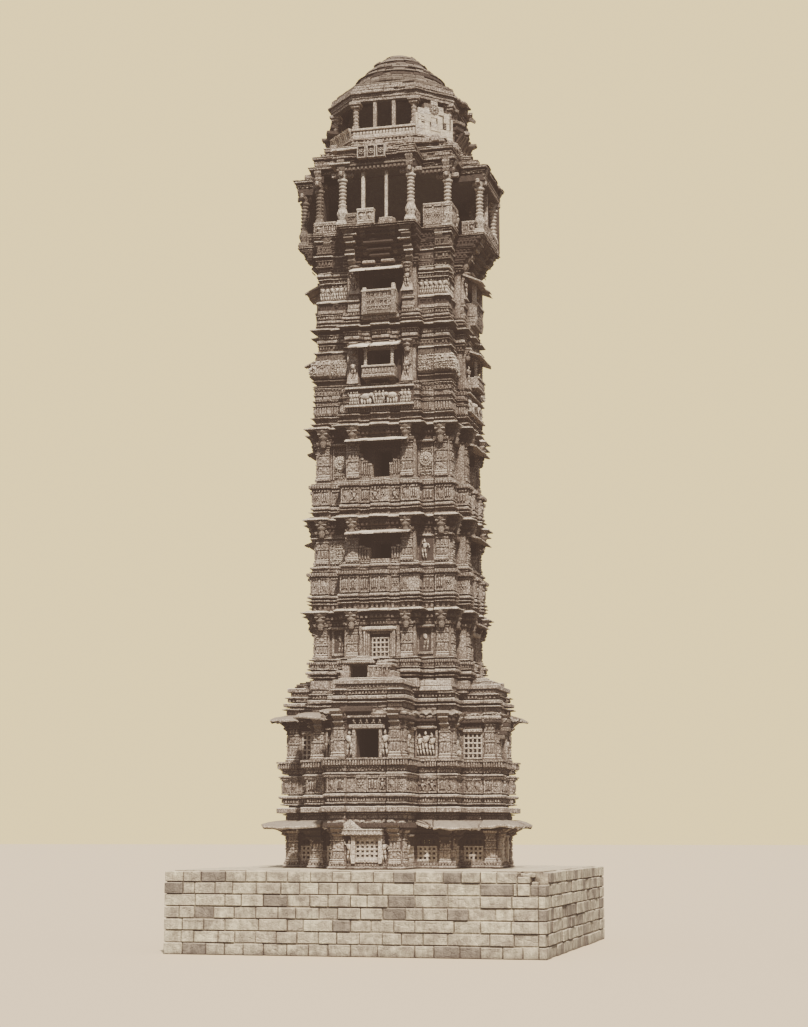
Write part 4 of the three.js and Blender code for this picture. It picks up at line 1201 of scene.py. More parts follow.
def elephant(x, out, foot, tall, facing):
    """A walking elephant in high relief."""
    h = tall
    deep = out + 0.06
    shapes = [ball(x, deep, foot + 0.58 * h, 0.42 * h, 0.14, 0.27 * h),
        ball(x + facing * 0.42 * h, deep + 0.03, foot + 0.68 * h, 0.17 * h, 0.12, 0.19 * h),
        limb((x + facing * 0.54 * h, deep + 0.05, foot + 0.66 * h),
        (x + facing * 0.6 * h, deep + 0.06, foot + 0.12 * h), 0.07 * h, 0.035 * h),
        ball(x + facing * 0.3 * h, deep + 0.09, foot + 0.68 * h, 0.08 * h, 0.05, 0.13 * h, 6, 4)]
    shapes += [limb((x + k * h, deep + 0.02, foot + 0.45 * h), (x + k * h, deep + 0.03, foot), 0.1 * h,
        0.075 * h) for k in (-0.28, -0.08, 0.14, 0.32)]
    return shapes


BASE_COURSES = {
    3: [(0.14, 0.06, FLAT, slab_joint, 0.6), (0.34, 0.12, FLAT, slab_joint, 0.75), (0.08, 0.0, SLOT),
        (0.08, 0.22, DRIP), (0.05, 0.08, SLOT), (0.13, 0.3, ROLL), (0.05, 0.1, SLOT),
        (0.09, 0.26, DRIP), (0.12, 0.16, FLAT, carved_rib, 0.1)],
    4: [(0.22, 0.08, FLAT, dentil, 0.2), (0.08, 0.26, DRIP), (0.05, 0.1, SLOT), (0.08, 0.28, DRIP),
        (0.05, 0.1, SLOT), (0.12, 0.26, ROLL), (0.06, 0.14, SLOT),
        (0.66, 0.16, FLAT, carved_panel, 0.42), (0.05, 0.12, SLOT), (0.14, 0.28, FLAT, carved_rib, 0.1),
        (0.06, 0.22, COVE), (0.1, 0.12, FLAT)],
    5: [(0.07, 0.24, DRIP), (0.13, 0.1, FLAT, bead, 0.33), (0.07, 0.28, DRIP), (0.05, 0.08, SLOT),
        (0.13, 0.22, ROLL), (0.06, 0.1, SLOT), (0.6, 0.15, FLAT, carved_panel, 0.4), (0.05, 0.1, SLOT),
        (0.16, 0.26, ROLL, carved_rib, 0.12)],
    6: [(0.08, 0.12, FLAT), (0.08, 0.3, DRIP), (0.14, 0.1, FLAT, bead, 0.35), (0.08, 0.3, DRIP),
        (0.05, 0.08, SLOT), (0.32, 0.18, FLAT, carved_rib, 0.11), (0.06, 0.26, DRIP),
        (0.13, 0.12, FLAT, slab_joint, 0.4), (0.06, 0.24, DRIP), (0.15, 0.14, FLAT, slab_joint, 0.4),
        (0.06, 0.22, DRIP), (0.16, 0.16, FLAT, leaf, 0.14), (0.08, 0.24, DRIP)],
    7: [(0.09, 0.12, FLAT), (0.08, 0.26, DRIP), (0.05, 0.08, SLOT), (0.11, 0.2, ROLL),
        (0.05, 0.06, SLOT), (0.12, 0.14, FLAT, carved_rib, 0.1)],
}
for storey, courses in BASE_COURSES.items():
    node = f"storey_{storey}_base"
    base = Stones()
    low, high = levels(node)
    shaft_plan = plan_of([shaft_half(SHAFT_FACES[storey])] * 4)
    coursework(base, shaft_plan, low, high, square_inner, courses, 50 + storey)
    if storey == 6:
        chance = random.Random(61)
        front = SHAFT_FACES[6] + BAY_STEP
        for side in range(4):
            # A slab painted black as shade backs the frieze; its ledges, elephants and figures are painted
            # sunlit
            base.tone = BLACK_SHADE
            base.put(slab(0, 1.38, front, front + 0.21, 21.14, 21.88, 0.02), side)
            base.tone = SUNLIT
            base.put(slab(0, 1.42, front, front + 0.36, 21.12, 21.19, 0.02), side)
            base.put(slab(0, 1.42, front, front + 0.34, 21.86, 21.93, 0.02), side)
            for k, x in enumerate((-1.05, -0.55, 0.0, 0.52, 1.05)):
                if k in (1, 3):
                    shapes = elephant(x, front + 0.2, 21.19, 0.56, 1 if k == 1 else -1)
                else:
                    shapes = [shape for shift in (-0.14, 0.0, 0.14) for shape in standing_figure(x + shift,
                        front + 0.2, 21.19, 0.6, chance.choice((-1, 1)), chance)]
                base.lay(shapes, side)
    build_carved(node + "_courses", base, node)


# What the walls of the shaft's storeys share: corner blocks, jambs, hoods, posts, niches and
# pilasters with their capitals. All are of carved sandstone, laid dry in courses.

def corner_plan(face, start=1.47):
    """The plan of one corner block, from its face on the front to its face on the right."""
    sunk = SUNK if face > SUNK_FACE else 0.0
    half = [(start, face - sunk, 0, 0.65), (2.12, face - sunk, 0, 0.65), (2.18, face, 0, 1),
        (face, face, 1, 1)]
    places = [(a, -o) for a, o, s, p in half] + [(o, -a) for a, o, s, p in reversed(half[:-1])]
    pushes = [(s, -p) for a, o, s, p in half] + [(p, -s) for a, o, s, p in reversed(half[:-1])]
    return np.array(places), np.array(pushes, float)


def corner_courses(stones, face, low, high, courses, seed):
    """Courses round the four corner blocks only, over the plain wall."""
    plan = corner_plan(face)
    rows, bands = course_rows(low, high, courses)
    for (count, *band), turn in itertools.product(bands, range(4)):
        carve_band(stones, plan, *band, seed + turn, turn)
    for turn in range(4):
        course_ring(stones, *plan, rows, set_in(0.2), closed=False, seed=seed, turn=turn)


def stepped_jamb(x0, x1, front, low, high, ribs):
    """A fluted upright panel beside a window, standing in front of the dark recess."""
    shapes = [block(x0, x1, front - 0.34, front - 0.04, low, high, 0.015)]
    wide = (x1 - x0) / ribs
    for k in range(ribs):
        shapes.append(stud(x0 + (k + 0.5) * wide, front - 0.04, low + 0.04, high - 0.03, 0.33 * wide, 0.05))
    shapes.append(stud((x0 + x1) / 2, front - 0.04, high - 0.09, high, (x1 - x0) / 2, 0.07, 0.9))
    return shapes


def hood_slabs(x0, x1, root, tip, top, low, seed, thick=0.05):
    """The slabs of a window's hood: they slope out, and each ends in a broken rim."""
    chance = random.Random(seed)
    shapes, x = [], x0
    while x < x1 - 0.05:
        wide = min(chance.uniform(0.35, 0.8), x1 - x)
        out = tip - chance.uniform(0.0, 0.16) * (tip - root)
        drop = (top - low) * (out - root) / (tip - root)
        shapes.append(([(x, -root, top - 2 * thick), (x + wide - 0.01, -root, top - 2 * thick),
            (x + wide - 0.01, -root, top), (x, -root, top), (x, -out, top - drop - thick),
            (x + wide - 0.01, -out + chance.uniform(-0.03, 0.05), top - drop - thick),
            (x + wide - 0.01, -out + 0.02, top - drop), (x, -out + 0.02, top - drop)],
            [(3, 2, 1, 0), (4, 5, 6, 7), (0, 1, 5, 4), (1, 2, 6, 5), (2, 3, 7, 6), (3, 0, 4, 7)]))
        x += wide
    return shapes


def turned_post(x, out, profile, around=12):
    """A round post or column, from (radius, height) rows."""
    loops = []
    for radius, z in profile:
        a = np.arange(around) * 2 * math.pi / around
        loops.append(np.column_stack([x + radius * np.cos(a), -out + radius * np.sin(a),
            np.full(around, z)]))
    points, faces = stacked(loops)
    return points, faces, True


def ringed(low, high, radius, step=0.11):
    """Profile rows of a post turned in rings."""
    rows, z = [(radius * 1.25, low), (radius * 1.25, low + 0.06)], low + 0.08
    while z < high - 0.1:
        rows += [(radius * 0.78, z), (radius * 1.1, z + 0.3 * step), (radius * 1.1, z + 0.6 * step),
            (radius * 0.78, z + 0.9 * step)]
        z += step
    return rows + [(radius * 1.35, high - 0.05), (radius * 1.35, high)]


def niche(x, face, low, high, half, chance):
    """A framed niche with a small hood and a standing figure."""
    shapes = [slab(x + a * half, 0.05, face - 0.12, face + 0.05, low, high, 0.012) for a in (-1, 1)]
    shapes += [slab(x, half, face - 0.12, face + 0.06, low, low + 0.09, 0.012),
        *small_hood(x, half + 0.06, face, high, 0.2)]
    return shapes + standing_figure(x, face - 0.07, low + 0.09, high - low - 0.12,
        chance.choice((-1.4, 1.4)), chance)


def storey_sides():
    return itertools.product(range(4), (-1, 1))


def begin_storey(storey):
    """A storey's stones, its corner and bay faces, its levels, and its plan with no openings."""
    face = SHAFT_FACES[storey]
    low, high = levels(f"storey_{storey}_walls")
    return Stones(), face, face + BAY_STEP, low, high, plan_of([shaft_half(face)] * 4)


def capital(x, out, low, high, half, reach):
    """A pilaster's capital: rings and swelling lumps that lean out to carry the cornice."""
    bell = ((0.3, 0.0), (0.55, 0.1), (0.42, 0.16), (0.72, 0.3), (0.5, 0.36), (0.55, 0.46), (0.85, 0.56),
        (0.87, 0.62), (0.58, 0.66), (0.7, 0.8), (1.0, 0.9), (1.0, 1.0))
    rings = [(half * radius, low + share * (high - low)) for radius, share in bell]
    return turned_post(x, out + 0.5 * reach, rings, 8)


def pilasters(stones, face, low, high, eave, reach=0.42):
    """The pilasters of one storey, with their capitals under the cornice."""
    front = face + BAY_STEP
    for side, hand in storey_sides():
        for x, out, half in ((1.1, front, 0.21), (face - 0.3, face, 0.22)):
            stones.lay((*banded_pilaster(hand * x, out, low, high, half),
                bracket(hand * x, out, high - 0.28, eave, half, reach)), side)
            # The capital is painted with shade
            stones.put(capital(hand * x, out, high - 0.28, eave, half, reach), side, SHADED)


RECESS_HALF = 0.9


def dark_recess(stones, half_window, half_recess, out, low, high, top):
    """Faces at the back and the sides of a window's recess, on every side, painted black as shade."""
    stones.tone = BLACK_SHADE
    for side, hand in storey_sides():
        inner, outer = sorted((hand * half_window, hand * half_recess))
        stones.put(block(inner, outer, out - 0.1, out + 0.012, low, high, 0.004), side)
        near, far = sorted((hand * half_recess, hand * (half_recess - 0.012)))
        stones.put(block(near, far, out, out + 0.36, low, top, 0.004), side)
    for side in range(4):
        stones.put(slab(0, half_recess, out - 0.1, out + 0.012, high, top, 0.004), side)
        stones.put(slab(0, half_recess, out, out + 0.36, top - 0.012, top, 0.004), side)
    stones.tone = 0


def recessed_bay(stones, face, plan, window, deep, dark_from, sill, head, lintel, seed):
    """The wall beside a storey's windows and over them, with the faces of their recess painted black as
    shade.
    """
    wall_lengths(stones, plan, [(0, sill, 0), (0, head, 0)], square_inner, seed)
    coursework(stones, plan, head, lintel, square_inner, [(1, 0, FLAT)], seed)
    dark_recess(stones, window, RECESS_HALF, face + BAY_STEP - deep, dark_from, head, lintel - 0.01)


# Third storey's walls: a portal with a stone lattice in each bay, under a hood of thin slabs,
# and a figure in a niche on each corner block. Carved sandstone, laid dry in courses.
third, face, front, low, high, solid_plan = begin_storey(3)
sill, head = 11.14, 12.12
coursework(third, solid_plan, low, sill, square_inner,
    [(0.12, 0.22, ROLL, carved_rib, 0.09), (0.05, 0.08, SLOT), (0.08, 0.2, DRIP)], 71)
wall_lengths(third, plan_of([shaft_half(face, 0.4, 0.09, 0.82)] * 4), [(0, sill, 0), (0, head, 0)],
    square_inner, 71)
# The courses under the cornice are painted with shade
third.tone = SHADED
coursework(third, solid_plan, head, high, square_inner, [(0.3, 0.0, FLAT), (0.12, 0.06, FLAT, dentil, 0.12),
    (0.12, 0.1, DRIP), (0.14, 0.16, ROLL, dentil, 0.16)], 73)
third.tone = 0
pilasters(third, face, sill, 12.5, high + 0.1)
chance = random.Random(75)
for side, hand in storey_sides():
    # A slab painted black as shade backs each niche
    third.put(slab(hand * 1.72, 0.28, face - 0.2, face - 0.075, 11.29, 12.25), side, BLACK_SHADE)
    third.lay(niche(hand * 1.72, face - 0.08, 11.25, 12.28, 0.29, chance), side)
    third.lay(small_hood(hand * 1.7, 0.45, face - 0.09, 12.3, 0.24, 0.045), side)
    for x, proud in ((0.455, 0.02), (0.53, 0.06), (0.605, 0.1)):
        third.put(slab(hand * x, 0.034, front - 0.2, front + proud, 11.14, 12.2, 0.01), side)
    third.put(pile(hand * 0.75, front - 0.02,
        [(11.14, 0.09, 0.03), (11.9, 0.05, 0.06), (12.35, 0.07, 0.16)]), side)
for side in range(4):
    # The lattice and the hood over it are painted sunlit, a slab behind them black as shade
    third.lay(window_lattice(-0.33, 0.33, front - 0.1, 11.16, 11.9, 4, 4, 0.03), side, SUNLIT)
    third.put(pile(0, front, [(12.16, 0.66, 0.1), (12.22, 0.7, 0.15), (12.3, 0.72, 0.15),
        (12.34, 0.5, 0.06)]), side, SUNLIT)
    third.put(slab(0, 0.42, front - 0.5, front - 0.35, 11.8, 12.14, 0.01), side, BLACK_SHADE)
    third.put(slab(0, 0.42, front - 0.3, front - 0.1, 12.06, 12.2, 0.01), side)
    if side:
        third.lay(hood_slabs(-0.95, 0.95, front, 3.62, 12.72, 12.56, 76 + side, 0.06), side)
build_carved("storey_3_masonry", third, "storey_3_walls")


# Fourth storey's walls: a wide recess between fluted, stepped jambs, with niches on the corner
# blocks. Sandstone courses, whose long hood slabs are bonded in over each recess.
fourth, face, front, low, high, solid_plan = begin_storey(4)
sill, head, lintel = 14.92, 15.76, 16.1
recess_plan = plan_of([shaft_half(face, 0.36, 0.42, RECESS_HALF)] * 4)
coursework(fourth, solid_plan, low, sill, square_inner,
    [(0.11, 0.2, ROLL), (0.11, 0.06, FLAT, petal, 0.12)], 81)
recessed_bay(fourth, face, recess_plan, 0.36, 0.42, 14.93, sill, head, lintel, 81)
# The courses over the recess, under the cornice, are painted black as shade
fourth.tone = BLACK_SHADE
coursework(fourth, solid_plan, lintel, high, square_inner,
    [(0.12, 0.02, FLAT, dentil, 0.13), (0.1, 0.08, DRIP), (0.14, 0.14, ROLL, dentil, 0.16)], 83)
fourth.tone = 0
pilasters(fourth, face, sill, 16.2, high + 0.1)
chance = random.Random(85)
corner_courses(fourth, face, 15.89, 16.0, [(1, 0.16, DRIP)], 87)
for side, hand in storey_sides():
    for x0, x1, top, ribs in ((0.44, 0.66, 15.48, 2), (0.66, 0.88, 15.56, 2)):
        x0, x1 = sorted((hand * x0, hand * x1))
        fourth.lay(stepped_jamb(x0, x1, front, sill, top, ribs), side)
    # On the front, the left block's lattice and carving are painted sunlit; the right block's niche back is
    # painted black as shade and its figure sunlit
    if side == 0 and hand < 0:
        fourth.lay([*bar_lattice(-2.12, -1.56, face - 0.01, 14.95, 15.8, 4, 6, 0.03, 0.06),
            *tracery(-1.84, 0.56, face - 0.02, 14.9, 15.85, chance, 0.075)], 0, SUNLIT)
    elif side == 0:
        fourth.put(block(1.48, 2.06, face - 0.2, face - 0.075, 14.9, 15.84), 0, BLACK_SHADE)
        fourth.lay(standing_figure(1.74, face - 0.05, 14.98, 0.8, -1.4, chance), 0, SUNLIT)
    else:
        fourth.lay(niche(hand * 1.76, face - 0.08, 14.92, 15.79, 0.28, chance), side)
for side in range(4):
    fourth.lay((*stepped_jamb(-0.42, 0.42, front - 0.02, 14.92, 15.02, 6),
        *hood_slabs(-1.3, 1.3, front, 3.68, 16.18, 15.98, 86 + side, 0.05)), side)
build_carved("storey_4_masonry", fourth, "storey_4_walls")


# Fifth storey's walls: a tall opening between stepped jambs, and a flower panel on each corner
# block. Sandstone, with a hood of slabs on every side, painted sunlit on the front and the right.
fifth, face, front, low, high, solid_plan = begin_storey(5)
sill, head, lintel = 18.29, 19.5, 19.8
recess_plan = plan_of([shaft_half(face, 0.36, 0.42, RECESS_HALF)] * 4)
coursework(fifth, solid_plan, low, sill, square_inner, [(0.1, 0.2, DRIP), (0.09, 0.05, FLAT)], 91)
recessed_bay(fifth, face, recess_plan, 0.36, 0.42, 18.3, sill, head, lintel, 91)
# The courses over the opening, under the cornice, are painted black as shade
fifth.tone = BLACK_SHADE
coursework(fifth, solid_plan, lintel, high, square_inner,
    [(0.12, 0.02, FLAT, dentil, 0.13), (0.1, 0.06, DRIP), (0.16, 0.12, ROLL, dentil, 0.16)], 93)
fifth.tone = 0
pilasters(fifth, face, sill, 19.84, high + 0.1)
chance = random.Random(95)
for side, hand in storey_sides():
    for x0, x1, top, ribs in ((0.36, 0.52, 18.86, 2), (0.52, 0.7, 19.0, 2), (0.7, 0.8, 19.1, 1),
            (0.8, 0.89, 19.28, 1)):
        x0, x1 = sorted((hand * x0, hand * x1))
        fifth.lay(stepped_jamb(x0, x1, front, sill, top, ribs), side)
    # The flower panels and the carving round them are painted sunlit
    for back, radius, petals, proud in ((0.05, 0.32, 16, 0.08), (0.03, 0.21, 12, 0.09),
            (0.01, 0.1, 6, 0.09)):
        fifth.lay(rosette(hand * 1.76, face - back, 19.0, radius, petals, proud), side, SUNLIT)
    fifth.lay(tracery(hand * 1.76, 0.62, face - 0.08, 18.36, 19.6, chance, 0.08), side, SUNLIT)
    for x in (1.43, 2.09):
        for k in range(2):
            middle = x + 0.05 * (2 * k - 1)
            fifth.put(slab(hand * middle, 0.03, face - 0.2, face, 18.32, 19.66, 0.01), side)
    for tall in (18.52, 19.44):
        fifth.put(slab(hand * 1.76, 0.32, face - 0.2, face - 0.03, tall - 0.03, tall + 0.03), side)
    fifth.lay(small_hood(hand * 1.76, 0.38, face - 0.05, 19.68, 0.2), side)
for side in range(4):
    fifth.lay(hood_slabs(-1.35, 1.2 if side == 0 else 1.35, front, 3.62, 19.9, 19.71, 96 + side, 0.05),
        side, SUNLIT if side < 2 else 0)
build_carved("storey_5_masonry", fifth, "storey_5_walls")


# Sixth storey's walls: a balcony with two ringed posts in each bay, and swelling carved friezes
# on the corner blocks. Sandstone, with the balcony's floor slab on brackets.
sixth, face, front, low, high, solid_plan = begin_storey(6)
sill, head, lintel = 22.42, 23.56, 23.62
recess_plan = plan_of([shaft_half(face, 0.43, 0.35, RECESS_HALF)] * 4)
coursework(sixth, recess_plan, low, sill, square_inner, [(1, 0.0, FLAT)], 101)
recessed_bay(sixth, face, recess_plan, 0.43, 0.35, low + 0.01, sill, head, lintel, 101)
# The courses over the balcony are painted with shade
sixth.tone = SHADED
coursework(sixth, solid_plan, lintel, 23.92, square_inner,
    [(0.06, 0.1, DRIP), (0.1, 0.02, FLAT, dentil, 0.13), (0.07, 0.12, DRIP)], 103)
sixth.tone = 0
coursework(sixth, solid_plan, 23.92, high, square_inner,
    [(0.05, 0.0, SLOT), (0.16, 0.08, ROLL, slab_joint, 0.35), (0.05, 0.0, SLOT),
    (0.12, 0.05, FLAT, carved_rib, 0.1), (0.1, 0.13, DRIP)], 104)
chance = random.Random(107)
# On the corner blocks, the courses round the swelling frieze are painted with shade, its carving and top
# ledge sunlit
sixth.tone = SHADED
corner_courses(sixth, face, 22.1, 22.48, [(0.1, 0.24, DRIP), (0.13, 0.08, FLAT), (0.08, 0.28, DRIP),
    (0.06, 0.1, SLOT)], 105)
corner_courses(sixth, face, 23.22, 23.5, [(1, 0.1, FLAT, carved_rib, 0.06)], 106)
sixth.tone = 0
corner_courses(sixth, face, 22.48, 23.24, [(1, 0.34, SWELL)], 107)
sixth.tone = SUNLIT
for turn in range(4):
    for out, z0, z1 in ((0.33, 22.54, 22.92), (0.28, 22.9, 23.08), (0.2, 23.06, 23.22)):
        carve_band(sixth, corner_plan(face), out, z0, z1, tracery, 0.3, 109 + turn, turn)
corner_courses(sixth, face, 23.5, 23.62, [(1, 0.22, DRIP)], 108)
sixth.tone = 0
for side, hand in storey_sides():
    sixth.put(pile(hand * 1.12, front - 0.02, [(22.1, 0.24, 0.3), (22.3, 0.22, 0.24), (22.62, 0.17, 0.12),
        (23.2, 0.14, 0.08), (23.5, 0.17, 0.14), (23.7, 0.24, 0.3)]), side)
    sixth.lay((*standing_figure(hand * 1.12, front + 0.16, 22.28, 0.8, -hand, chance),
        capital(hand * 1.12, front, 23.3, 23.8, 0.2, 0.3)), side)
    # The balcony posts are painted sunlit
    sixth.put(turned_post(hand * 0.55, front + 0.38, ringed(22.75, 23.5, 0.062, 0.1)), side, SUNLIT)
    sixth.put(bracket(hand * 0.55, front + 0.28, 23.36, 23.6, 0.09, 0.2), side)
    sixth.put(bracket(hand * 0.5, front - 0.1, 21.96, 22.28, 0.11, 0.5), side)
    for z, shrink in ((23.7, 0.0), (23.9, 0.12), (24.08, 0.25)):
        sixth.put(stud(hand * (0.5 + 0.4 * shrink), front + 0.02, z, z + 0.12, 0.16, 0.22 - shrink * 0.4),
            side)
for side in range(4):
    sixth.put(slab(0, 0.68, front - 0.3, 3.5, 22.26, 22.38, 0.03), side)
    sixth.put(slab(0, 0.64, 3.34, 3.46, 22.36, 22.68, 0.02), side)
    # The balcony's rail is painted sunlit
    sixth.put(slab(0, 0.68, 3.3, 3.52, 22.67, 22.75, 0.02), side, SUNLIT)
    for hand in (-1, 1):
        sixth.put(slab(hand * 0.62, 0.05, front - 0.3, 3.46, 22.36, 22.72, 0.02), side)
    for k in range(10):
        sixth.put(stud(-0.585 + 0.13 * k, 3.46, 22.4, 22.65, 0.045, 0.03), side)
    sixth.put(slab(0, 0.7, front - 0.1, 3.42, 23.5, 23.6, 0.02), side)
    # The hood slabs are painted sunlit
    lengths = ((-1.2, -0.35), (-0.3, 0.85)) if side == 0 else ((-1.25, 1.25),)
    for k, (x0, x1) in enumerate(lengths):
        sixth.lay(hood_slabs(x0, x1, front, 3.8 - 0.1 * k, 23.83, 23.48 + 0.04 * k, 108 + side + k, 0.05),
            side, SUNLIT)
sixth.lay(bar_lattice(1.55, 2.0, face + 0.36, 22.5, 23.4, 3, 6, 0.035, 0.06), 1)
build_carved("storey_6_masonry", sixth, "storey_6_walls")


# Seventh storey's walls: a deeper balcony under a long hood, and dancers on the corner blocks.
# Sandstone, laid dry. The balcony's posts are broken off on the front.
seventh, face, front, low, high, solid_plan = begin_storey(7)
sill, head, lintel = 25.89, 26.78, 26.96
recess_plan = plan_of([shaft_half(face, 0.48, 0.35, RECESS_HALF)] * 4)
coursework(seventh, recess_plan, low, sill, square_inner, [(1, 0.0, FLAT)], 111)
recessed_bay(seventh, face, recess_plan, 0.48, 0.35, 25.3, sill, head, lintel, 111)
# The courses over the balcony are painted with shade
seventh.tone = SHADED
coursework(seventh, solid_plan, lintel, high, square_inner,
    [(0.09, 0.06, FLAT, dentil, 0.13), (0.07, 0.16, DRIP), (0.05, 0.02, SLOT), (0.11, 0.12, ROLL),
    (0.06, 0.04, FLAT, dentil, 0.12), (0.07, 0.16, DRIP), (0.06, 0.02, SLOT)], 113)
# On the corner blocks, the panel band and the wall behind the dancers are painted black as shade; the
# ledges, the top courses and the dancers are painted sunlit
seventh.tone = BLACK_SHADE
corner_courses(seventh, face, 25.34, 25.62, [(1, 0.06, FLAT, carved_panel, 0.3)], 114)
corner_courses(seventh, face, 25.76, 26.44, [(1, -0.02, FLAT)], 115)
seventh.tone = 0
corner_courses(seventh, face, 25.1, 25.34, [(0.07, 0.22, DRIP), (0.05, 0.06, SLOT), (0.12, 0.14, FLAT)],
    116)
seventh.tone = SUNLIT
corner_courses(seventh, face, 25.62, 25.76, [(1, 0.24, DRIP)], 117)
corner_courses(seventh, face, 26.44, 26.96, [(0.08, 0.18, DRIP), (0.09, 0.04, FLAT, dentil, 0.11),
    (0.08, 0.22, DRIP), (0.07, 0.02, SLOT), (0.12, 0.16, ROLL, slab_joint, 0.3), (0.08, 0.22, DRIP)], 118)
seventh.tone = 0
chance = random.Random(117)
for side, hand in storey_sides():
    for x in np.arange(1.56, face - 0.02, 0.2):
        seventh.lay(standing_figure(hand * x, face - 0.02, 25.77, 0.68, chance.choice((-1.5, 1.5)), chance),
            side, SUNLIT)
    for z0, z1, proud in ((25.1, 25.22, 0.2), (25.24, 25.5, 0.12), (25.52, 25.6, 0.2),
            (25.62, 25.84, 0.14)):
        seventh.put(slab(hand * 1.13, 0.26, front - 0.1, front + proud, z0, z1, 0.03), side)
    seventh.put(pile(hand * 1.11, front - 0.02, [(25.84, 0.26, 0.28), (26.1, 0.2, 0.16), (26.5, 0.14, 0.1),
        (26.8, 0.18, 0.2), (26.96, 0.24, 0.3)]), side)
    seventh.lay((*standing_figure(hand * 1.11, front + 0.14, 25.98, 0.74, -hand, chance),
        capital(hand * 1.11, front, 26.62, 27.0, 0.2, 0.3)), side)
    tall = (26.0 if hand < 0 else 26.12) if side == 0 else 26.72
    # The broken balcony posts are painted sunlit
    seventh.put(slab(hand * 0.6, 0.08, 3.24, 3.42, 25.86, tall, 0.03), side, SUNLIT)
for side in range(4):
    # The balcony's body is painted with shade, its rail and the hood sunlit
    seventh.put(slab(0, 0.66, 3.22, 3.38, 24.9, 25.82, 0.02), side, SHADED)
    for half, out, z0, z1 in ((0.7, 3.42, 25.19, 25.25), (0.69, 3.42, 25.5, 25.55),
            (0.72, 3.4, 25.06, 25.1)):
        seventh.put(slab(0, half, front - 0.3, out, z0, z1, 0.02), side)
    seventh.put(slab(0, 0.72, 3.22, 3.48, 25.8, 25.89, 0.025), side, SUNLIT)
    for half, out, z0, z1 in ((0.7, 3.36, 25.02, 25.19), (0.72, 3.27, 24.88, 25.03),
            (0.78, 3.18, 24.74, 24.89)):
        seventh.put(slab(0, half, front - 0.2, out, z0, z1, 0.03), side)
    for hand in (-1, 1):
        seventh.put(slab(hand * 0.66, 0.05, front - 0.3, 3.4, 25.28, 25.84, 0.02), side)
        seventh.put(bracket(hand * 0.5, front - 0.1, 24.76, 25.2, 0.14, 0.42), side)
    for x in (-0.6, 0.6):
        seventh.put(pile(x, 3.36, [(24.9, 0.12, 0.03), (25.2, 0.09, 0.09), (25.5, 0.07, 0.06),
            (25.8, 0.08, 0.1)]), side)
    for k, (tall, deep) in itertools.product(range(6), ((25.56, 0.23), (25.26, 0.23))):
        seventh.lay(carved_panel(-0.44 + 0.176 * k, 0.17, 3.37, tall, tall + deep, chance), side)
    for k in range(9):
        seventh.put(stud(-0.48 + 0.12 * k, 3.36, 25.11, 25.19, 0.04, 0.05), side)
    if side:
        seventh.put(slab(0, 0.75, front - 0.1, 3.44, 26.7, 26.84, 0.02), side)
    x0, x1 = (-1.12, 0.95) if side == 0 else (-1.35, 1.35)
    seventh.lay(hood_slabs(x0, x1, front, 3.86, 27.0, 26.62 if side == 0 else 26.55, 118 + side, 0.05),
        side, SUNLIT)
build_carved("storey_7_masonry", seventh, "storey_7_walls")


# Cornices of the shaft: two thin courses with sharp, chipped rims that throw the rain clear.
# Sandstone, bonded into the walls, with a row of dentils under the upper one.
for storey in (3, 4, 5, 6):
    node = f"storey_{storey}_cornice"
    low, high = levels(node)
    cornice = Stones()
    grow = 0.0 if storey < 6 else -0.12
    cornice_plan = plan_of([shaft_half(SHAFT_FACES[storey])] * 4)
    middle = low + 0.45 * (high - low)
    # The lower course with its dentils is painted black as shade, the upper rim sunlit
    cornice.tone = BLACK_SHADE
    coursework(cornice, cornice_plan, low, middle, square_inner,
        [(0.07, 0.2 + grow, FLAT), (0.05, 0.16 + grow, FLAT, dentil, 0.12)], 120 + storey)
    cornice.tone = SUNLIT
    coursework(cornice, cornice_plan, middle, high, square_inner,
        [(0.1, 0.47 + grow, DRIP), (0.03, 0.3 + grow, FLAT)], 125 + storey)
    build_carved(node + "_slabs", cornice, node)


# Corbels of the gallery: courses of sandstone that step out from the shaft to carry the eighth
# storey, painted with shade and black shade, with ledges painted sunlit. They are bonded deep into
# the wall, and their undersides are stepped.

def paved_over(places, pushes):
    """The inside of a ring that closes at the tower's axis, as a floor does."""
    return places * 0.02


def gallery_half(corner, bay, reach, bay_push=1.0, corner_push=1.0):
    """Half of one side of the gallery: its bay and its corner block."""
    return [(0.86, reach, 0, bay_push, ""), (0.92, reach + 0.05, 0, bay_push, ""),
        (bay, reach + 0.05, corner_push, bay_push, ""), (bay, corner, corner_push, corner_push, ""),
        (corner, corner, corner_push, corner_push, "")]


corbel_low, corbel_high = levels("storey_8_corbels")
corbels = Stones()
corbel_plan = plan_of([gallery_half(2.66, 1.47, 3.08, 1.0, 0.22)] * 4)
corbels.tone = BLACK_SHADE
coursework(corbels, corbel_plan, corbel_low, corbel_high, square_inner,
    [(0.1, 0.02, ROLL), (0.08, 0.16, DRIP), (0.12, 0.08, FLAT, dentil, 0.16), (0.08, 0.32, DRIP),
    (0.14, 0.24, ROLL, petal, 0.16), (0.09, 0.48, DRIP), (0.12, 0.4, FLAT, carved_panel, 0.24),
    (0.08, 0.6, DRIP), (0.1, 0.54, FLAT, dentil, 0.14), (0.09, 0.7, DRIP)], 131)
chance = random.Random(133)
corbels.tone = BLACK_SHADE
corner_courses(corbels, 2.68, 27.02, 28.32, [(1, 0.0, FLAT)], 138)
corbels.tone = SHADED
corner_courses(corbels, 2.7, 27.0, 27.5,
    [(0.1, 0.02, ROLL), (0.08, 0.14, DRIP), (0.12, 0.04, FLAT, dentil, 0.14), (0.08, 0.12, DRIP)], 134)
corner_courses(corbels, 2.74, 27.75, 28.16, [(0.2, 0.02, FLAT, carved_panel, 0.22), (0.08, 0.08, DRIP)],
    135)
corbels.tone = SUNLIT
